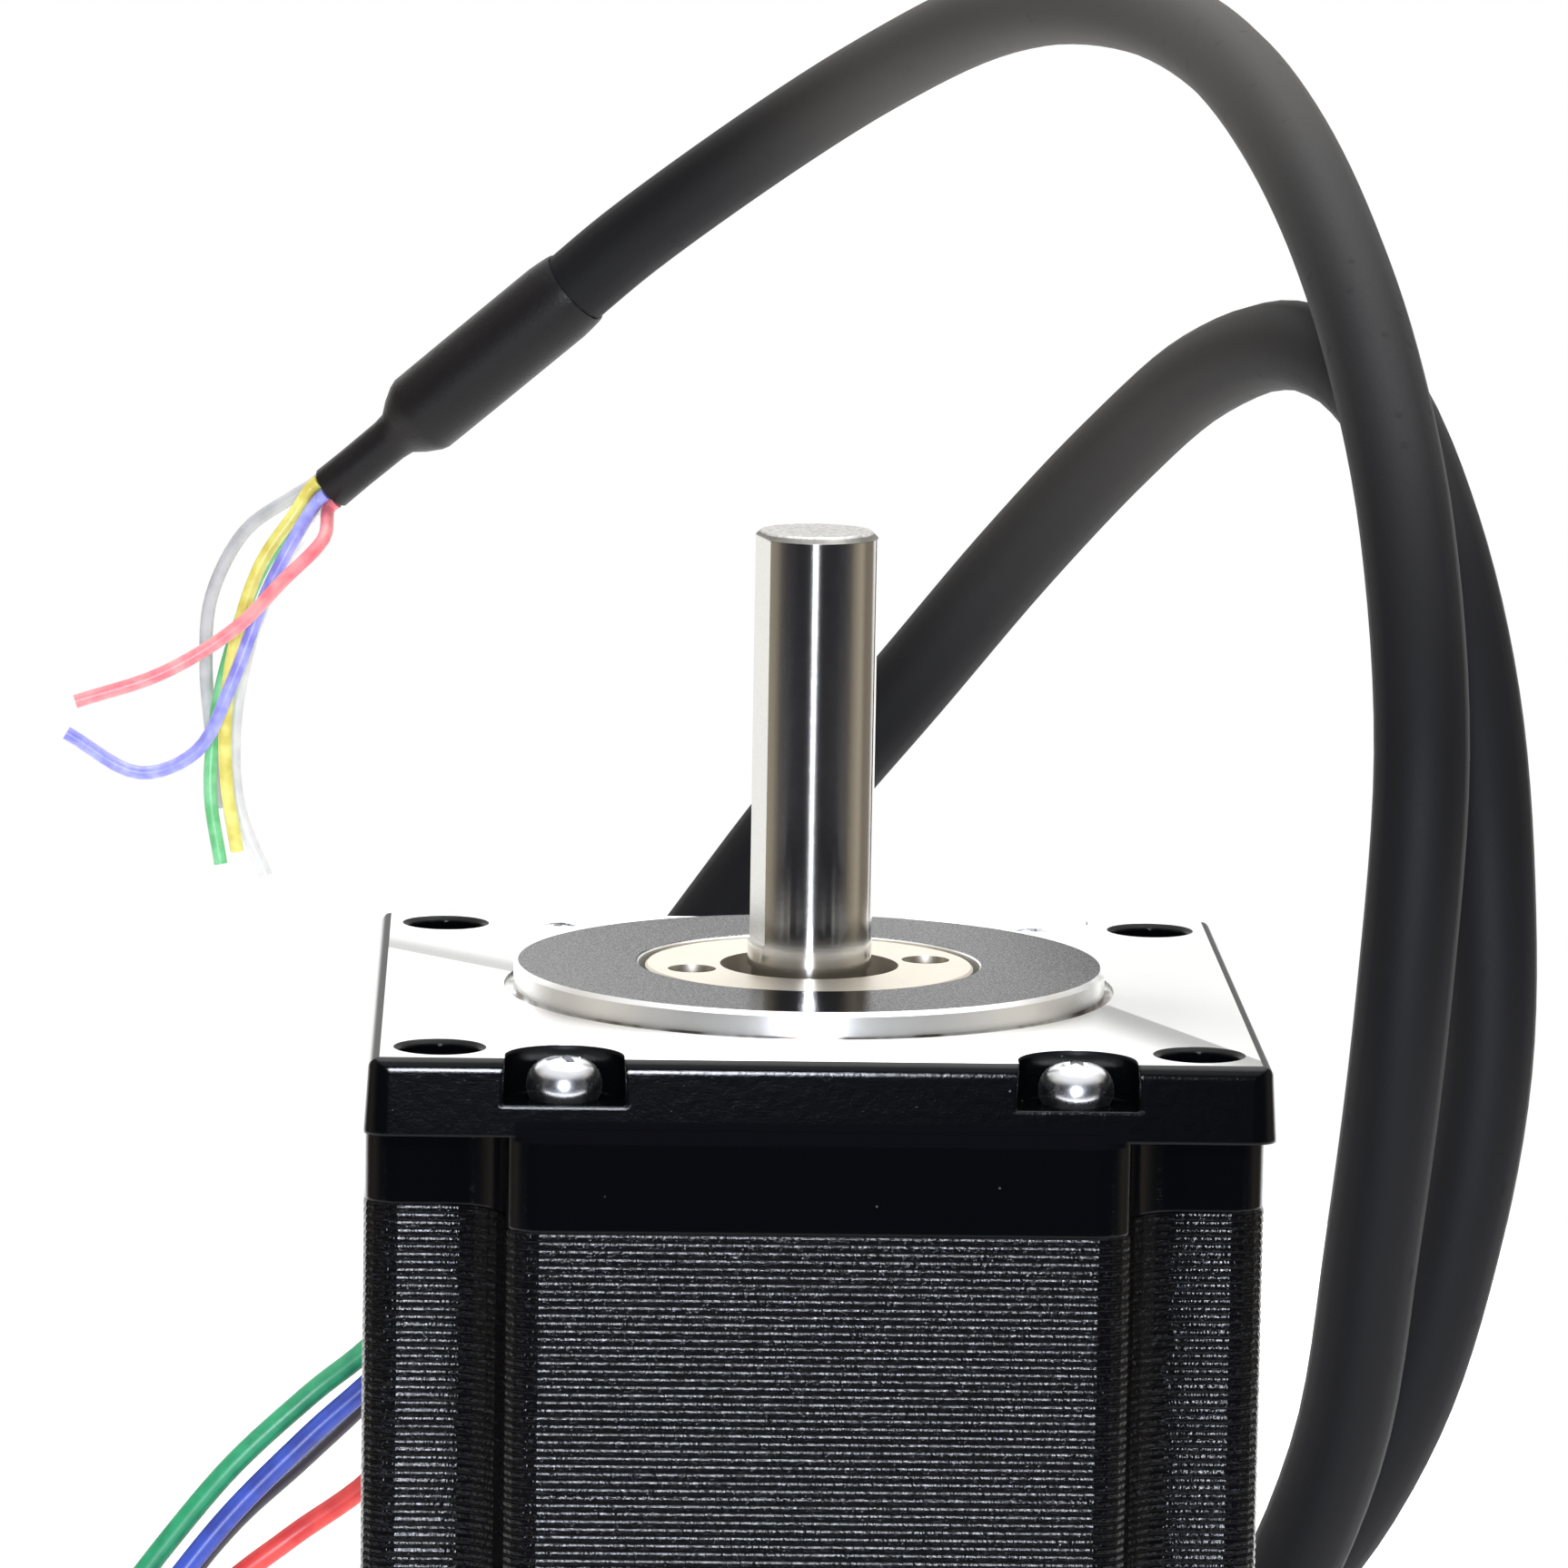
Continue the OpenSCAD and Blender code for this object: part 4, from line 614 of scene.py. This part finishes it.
def black_casting():
    """Glossy black enamel, with the mounting face and the pilot machined bright."""
    f = Finish("black_casting")
    radius = f.radius()
    grain = f.noise(7, 2, 0.6)
    fine = f.noise(14, 3, 0.7)
    top = f.z.rising(-0.012, -0.006)
    groove_floor = f.z.rising(-GROOVE_D - 0.04, -GROOVE_D - 0.02)

    # Enamel with a little dust, duller along the cut edge of the face
    peel = f.noise(1.4, 2)
    dust = f.specks(0.45, 0.045)
    cut_edge = f.z.rising(-0.4, -0.1)
    black = f.blend(dust * 0.4, (0.0016, 0.0018, 0.0024), (0.12, 0.12, 0.13))
    enamel = f.shader(
        Base_Color=black, Roughness=0.08 + dust * 0.3 + cut_edge * 0.4,
        Specular_IOR_Level=0.2, Normal=f.bump(peel * 0.008 + grain * 0.004, 0.28))

    # Between the corners the flange runs on into the bell with no glint on the joint
    x_out, y_out = f.maths("ABSOLUTE", f.x), f.maths("ABSOLUTE", f.y)
    arm_end = (ARM_HALF - 0.64, ARM_HALF - 0.25)
    seam = f.z.rising(-FLANGE_T - 0.5, -FLANGE_T - 0.3)
    seam *= f.z.falling(-FLANGE_T + 0.9, -FLANGE_T + 1.2)
    seam *= x_out.falling(*arm_end) + (
        x_out.rising(ARM_HALF - 0.51, ARM_HALF - 0.38) * y_out.falling(*arm_end))
    flush = f.shader(Base_Color=(0.003, 0.003, 0.004), Roughness=0.5, Specular_IOR_Level=0.0)
    painted = f.mix(seam, enamel, flush)

    # Two grey wedges of painted reflection on the turned face, each with one sharp side, and
    # dirt round the pilot
    right, left = f.towards(23), f.towards(42)
    painted_reflection = right.rising(9.5, 14.5) * right.falling(15, 15.3) * f.y.falling(-7, -4)
    painted_reflection += left.rising(-11.5, -11.2) * left.falling(-10.5, -6.5) * f.x.falling(-14, -10)
    foot = radius.falling(PILOT_R + 0.25, PILOT_R + 0.55) * groove_floor
    foot *= f.z.falling(0.02, 0.1)
    dirt = foot * f.noise(0.3, 2).rising(0.4, 0.62) * 0.85
    # The machined face's colour, darkened by the wedges of painted reflection, then browned by
    # the dirt
    bright = f.blend(painted_reflection * (0.5 + grain * 0.5), (0.93, 0.93, 0.92), (0.25, 0.25, 0.25))
    bright = f.blend(dirt, bright, (0.1, 0.06, 0.03))
    lathe = f.maths("SINE", radius * 26)
    milled = f.shader(
        Base_Color=bright, Metallic=1.0, Roughness=0.3 + fine * 0.08,
        Anisotropic=0.8, Anisotropic_Rotation=0.25,
        Normal=f.bump(lathe * 0.0006 + fine * 0.002))

    # The pilot's top is darker than the face round it
    rim = PILOT_R - PILOT_CHAMFER
    pilot = f.z.rising(PILOT_H - 0.1, PILOT_H - 0.04) * radius.falling(rim, rim + 0.03)
    faced = f.shader(
        Base_Color=f.blend(grain.rising(0.3, 0.7), (0.12, 0.12, 0.122), (0.5, 0.5, 0.5)),
        Metallic=1.0, Specular_Tint=(0.5, 0.5, 0.51, 1), Roughness=0.14 + fine * 0.08,
        Normal=f.bump(fine * 0.003))

    wall = PILOT_R + GROOVE_W
    groove = radius.falling(wall - 0.03, wall + 0.01) * groove_floor
    machined = f.maths("MAXIMUM", top, groove)
    return f.done(f.mix(machined, painted, f.mix(pilot, milled, faced)))


def plain_metal(name, colour, dark, roughness, lines, stretch=None):
    """Bare metal with tool marks, and a little tarnish in broad patches."""
    f = Finish(name)
    marks = f.noise(2, 3, 0.6, stretch)
    patches = f.noise(0.22, 2)
    return f.done(f.shader(
        Base_Color=f.blend(patches * 0.6 + marks * 0.25, colour, dark), Metallic=1.0,
        Roughness=roughness + marks * 0.14 - 0.07, Normal=f.bump(marks * lines)))


def ground_steel():
    """Ground round the shaft, with a milled flat and a turned end."""
    f = Finish("ground_steel")
    marks = f.noise(2, 3, 0.6, (0.3, 0.3, 8))
    scratches = f.specks(0.9, 0.1, (1, 1, 3))
    mottle = f.noise(3, 3, 0.7)

    # The round side and the flat
    flat_r = SHAFT_R - FLAT_DEPTH
    flat = f.towards(180 + FLAT_TURN).rising(flat_r - 0.03, flat_r - 0.01)
    flat *= f.z.rising(FLAT_START - 0.1, FLAT_START + 0.1)
    shade = f.blend(marks * 0.5 + scratches * 0.3, (0.66, 0.64, 0.6), (0.48, 0.47, 0.45))
    shade = f.blend(flat, shade, f.blend(mottle, (0.56, 0.55, 0.52), (0.42, 0.41, 0.39)))
    side = f.shader(
        Base_Color=shade, Metallic=1.0, Roughness=0.13 + flat * 0.15 + marks * 0.06 - 0.03,
        Anisotropic=0.82, Anisotropic_Rotation=0.25,
        Normal=f.bump(marks * 0.002 + scratches * 0.001 + mottle * 0.0025))

    # The end, with a dark chamfer round it
    end = f.z.rising(SHAFT_OUT - 0.5, SHAFT_OUT - 0.35)
    face = f.z.rising(SHAFT_OUT - 0.15, SHAFT_OUT - 0.1)
    chamfered = f.blend(mottle, (0.3, 0.29, 0.27), (0.16, 0.16, 0.15))
    faced = f.blend(mottle.rising(0.35, 0.65), (0.85, 0.84, 0.82), (0.5, 0.49, 0.48))
    rings = f.maths("SINE", f.radius() * 30)
    tip = f.shader(
        Base_Color=f.blend(face, chamfered, faced), Metallic=1.0,
        Specular_Tint=(0.55, 0.55, 0.54, 1), Roughness=0.3,
        Normal=f.bump(rings * 0.001 + mottle * 0.004))
    return f.done(f.mix(end, side, tip))


def laminations():
    """Black paint on the rolled edges of the sheets, uneven enough to sparkle."""
    f = Finish("laminations")
    dents = f.noise(3.4, 2, 0.6, (1, 1, 0.5))
    grain = f.noise(11, 2, 0.6)
    worn = f.noise(1.1, 3, 0.7, (1, 1, 4)).rising(0.6, 0.72)
    return f.done(f.shader(
        Base_Color=f.blend(worn * 0.5, (0.002, 0.002, 0.0025), (0.05, 0.055, 0.07)),
        Metallic=worn * 0.4, Roughness=0.09 + grain * 0.04, Specular_IOR_Level=0.2,
        Normal=f.bump(dents * 0.055 + grain * 0.01)))


def moulded_skin(name, colour, scuffed, roughness, per_mm, depth, painted_top_light=None):
    """Plastic or rubber with a moulded or extruded skin. The painted top light is a lighter
    shade painted high up, where light falls on the leads.
    """
    f = Finish(name)
    skin = f.noise(per_mm, 3, 0.6)
    scuffs = f.specks(0.35, 0.16, (1, 1, 0.6))
    shade = f.blend(f.noise(0.12, 2) * 0.5 + scuffs * 0.25, colour, scuffed)
    if painted_top_light:
        # Painted light: the tops of the leads' arches, behind the motor and above its mounting
        # face, are painted lighter where light falls on them
        high = f.y.rising(80, 140) * f.y.falling(192, 216) * f.z.rising(-5, 35)
        shade = f.blend(high, shade, painted_top_light)
    return f.done(f.shader(
        Base_Color=shade, Roughness=roughness + skin * 0.12 - 0.06 + scuffs * 0.08,
        Specular_IOR_Level=0.2, Normal=f.bump(skin * depth)))


def wire_skin(name, colour, dark):
    """Coloured insulation of a slim wire, a little uneven in tint."""
    f = Finish(name)
    skin = f.noise(5, 2)
    return f.done(f.shader(
        Base_Color=f.blend(f.noise(0.5, 2).rising(0.3, 0.7), colour, dark),
        Roughness=0.36 + skin * 0.12, Coat_Weight=0.15, Coat_Roughness=0.25,
        Normal=f.bump(skin * 0.01)))


def winding():
    """Enamelled copper wire, turn beside turn."""
    f = Finish("winding")
    turn = f.maths("FRACT", f.radius() * 2.2)
    ridge = turn * (1 - turn) * 4
    return f.done(f.shader(
        Base_Color=f.blend(f.noise(0.6, 2), (0.58, 0.2, 0.07), (0.3, 0.08, 0.025)),
        Metallic=0.7, Roughness=0.3, Coat_Weight=0.5, Coat_Roughness=0.15,
        Normal=f.bump(ridge * 0.12)))


def code_disc():
    """Thin disc with fine radial marks near its rim."""
    f = Finish("code_disc")
    radius = f.radius()
    track = radius.rising(9.6, 9.7) * radius.falling(12.2, 12.3)
    wave = f.maths("SINE", f.maths("ARCTAN2", f.y, f.x) * 200)
    return f.done(f.shader(
        Base_Color=f.blend(track * wave.rising(-0.1, 0.1), (0.6, 0.6, 0.62),
                           (0.02, 0.02, 0.02)),
        Metallic=0.8, Roughness=0.25 + f.noise(3) * 0.1))


def circuit_board():
    """Green solder mask over copper tracks."""
    f = Finish("circuit_board")
    grid = f.node("TexBrick", {"offset": 0.5}, {"Vector": f.place, "Scale": 0.5,
                                                "Mortar Size": 0.04}, "Fac")
    tracks = grid * f.noise(0.3, 2).rising(0.45, 0.55)
    return f.done(f.shader(
        Base_Color=f.blend(tracks, (0.01, 0.09, 0.035), (0.03, 0.2, 0.08)),
        Roughness=0.3 + f.noise(4) * 0.1, Coat_Weight=0.4, Coat_Roughness=0.15,
        Normal=f.bump(tracks * 0.03)))


# Colour, tarnish, roughness, depth of the tool marks, and a stretch of these if they have one
METALS = {
    "bright_cap": ((0.69, 0.64, 0.56), (0.53, 0.49, 0.41), 0.42, 0.004),
    "nickel_screw": ((0.8, 0.81, 0.83), (0.6, 0.61, 0.64), 0.26, 0.003),
    "bearing_steel": ((0.34, 0.33, 0.32), (0.22, 0.22, 0.21), 0.15, 0.0005),
    "cage_brass": ((0.72, 0.52, 0.2), (0.5, 0.34, 0.12), 0.3, 0.002),
    "spring_steel": ((0.5, 0.5, 0.52), (0.3, 0.3, 0.33), 0.3, 0.002),
    "rotor_steel": ((0.42, 0.42, 0.44), (0.25, 0.25, 0.27), 0.35, 0.01, (0.3, 0.3, 6)),
    "magnet": ((0.4, 0.4, 0.42), (0.28, 0.28, 0.3), 0.3, 0.004),
    "hub_metal": ((0.75, 0.75, 0.76), (0.6, 0.6, 0.6), 0.32, 0.003),
    "black_screw": ((0.05, 0.05, 0.055), (0.02, 0.02, 0.022), 0.35, 0.004),
}
# Colour, scuffed colour, roughness, grain per millimetre, its depth, and the cables' painted
# top light
SKINS = {
    "black_plastic": ((0.016, 0.016, 0.018), (0.03, 0.03, 0.032), 0.45, 5, 0.03),
    "header_plastic": ((0.75, 0.72, 0.62), (0.6, 0.57, 0.48), 0.4, 4, 0.01),
    "insulator": ((0.8, 0.77, 0.68), (0.68, 0.64, 0.54), 0.45, 4, 0.01),
    "boot_rubber": ((0.014, 0.014, 0.015), (0.03, 0.03, 0.03), 0.55, 6, 0.02),
    # The jacket's last colour is the painted light on the arches' tops
    "cable_jacket": ((0.004, 0.004, 0.0055), (0.008, 0.008, 0.009), 0.62, 5, 0.012,
                     (0.045, 0.041, 0.037)),
    "shrink_sleeve": ((0.008, 0.007, 0.0075), (0.018, 0.016, 0.016), 0.42, 3, 0.04),
}
# Colour and its darker patches
WIRES = {
    "wire_yellow": ((0.8, 0.76, 0.2), (0.62, 0.52, 0.08)),
    "wire_grey": ((0.5, 0.5, 0.51), (0.4, 0.4, 0.41)),
    "wire_green": ((0.02, 0.3, 0.13), (0.01, 0.2, 0.09)),
    "wire_white": ((0.75, 0.74, 0.72), (0.6, 0.6, 0.6)),
    "wire_blue": ((0.03, 0.07, 0.42), (0.02, 0.04, 0.28)),
    "wire_red": ((0.75, 0.06, 0.05), (0.6, 0.03, 0.03)),
    "wire_black": ((0.015, 0.017, 0.03), (0.02, 0.02, 0.03)),
    # Painted glare: paler copies of green, blue and red for the encoder's wires, as if washed
    # out by light
    "thin_green": ((0.22, 0.62, 0.3), (0.1, 0.45, 0.16)),
    "thin_blue": ((0.38, 0.4, 0.85), (0.2, 0.2, 0.62)),
    "thin_red": ((0.88, 0.3, 0.3), (0.75, 0.14, 0.18)),
}

finishes = {
    "black_casting": black_casting(),
    "ground_steel": ground_steel(),
    "laminations": laminations(),
    "winding": winding(),
    "code_disc": code_disc(),
    "circuit_board": circuit_board(),
}
for family, make in ((METALS, plain_metal), (SKINS, moulded_skin), (WIRES, wire_skin)):
    for name, values in family.items():
        finishes[name] = make(name, *values)


def dress(piece, finish):
    """Gives a new piece or a node of the solid model its finish."""
    piece.data.materials.clear()
    piece.data.materials.append(finishes[finish])


for part in frame["record"]["subparts"]:
    dress(frame["nodes"][part["node"]], part["material_slot"])
for piece, finish in new_pieces:
    dress(piece, finish)


# Pale floor and soft light

FLOOR_W = 0.68
FLOOR_Y = 0.08


def pale_floor():
    """A floor a tenth of a millimetre under the part."""
    deselect()
    lowest = cad_box[0][2]
    bpy.ops.mesh.primitive_plane_add(size=FLOOR_W, location=(0, FLOOR_Y, lowest - 0.1 * MM))
    floor = bpy.context.object
    floor.name = "floor"
    f = Finish("pale_floor")
    floor.data.materials.append(f.done(f.shader(
        Base_Color=f.blend(f.noise(0.004, 2), (0.9, 0.9, 0.9), (0.86, 0.86, 0.86)),
        Roughness=0.9, Emission_Color=(1, 1, 1), Emission_Strength=0.3)))


# What the motor mirrors, half round from the front: dark, then warm walls, then white
WALLS = [
    (0.0, (0.015, 0.015, 0.022)), (0.3, (0.02, 0.02, 0.028)), (0.37, (0.11, 0.1, 0.09)),
    (0.44, (0.33, 0.29, 0.23)), (0.52, (0.5, 0.45, 0.36)), (0.6, (0.26, 0.22, 0.18)),
    (0.72, (0.28, 0.25, 0.21)), (0.79, (1.4, 1.4, 1.38))]
CEILING = (1.1, 1.1, 1.1)


def studio():
    """A room with those walls and a white ceiling, which the camera sees as plain white."""
    world = bpy.data.worlds.new("studio")
    scene.world = world
    world.use_nodes = True
    room = Nodes(world.node_tree)
    x, y, z = room.split(room.node("TexCoord", output="Generated"))
    forward = y * -1 / (x * x + y * y) ** 0.5
    half_turns = room.maths("ARCCOSINE", forward) / math.pi
    walls = room.node("ValToRGB", {"stops": WALLS}, {0: half_turns})
    light = room.blend(z.rising(0.42, 0.8), walls, CEILING)
    seen = room.blend(room.node("LightPath", output="Is Camera Ray"), light, (1, 1, 1))
    room.node("OutputWorld", {}, {"Surface": room.node(
        "Background", {}, {"Color": seen, "Strength": 1.0})})


def area_light(name, place, size, power, colour=(1, 1, 1)):
    """A rectangular lamp that faces the middle of the mounting face."""
    data = bpy.data.lights.new(name, "AREA")
    data.shape = "RECTANGLE"
    data.size, data.size_y = size
    data.energy = power
    data.color = colour
    lamp = bpy.data.objects.new(name, data)
    lamp.location = place
    lamp.rotation_euler = (-Vector(place)).to_track_quat("-Z", "Y").to_euler()
    scene.collection.objects.link(lamp)


pale_floor()
studio()
area_light("overhead_softbox", place=(0.1, 0.35, 0.95), size=(0.8, 0.8), power=9)
area_light("front_lamp", place=(-0.025, -0.9, 0.14), size=(0.11, 0.24), power=9,
           colour=(0.84, 0.89, 1))
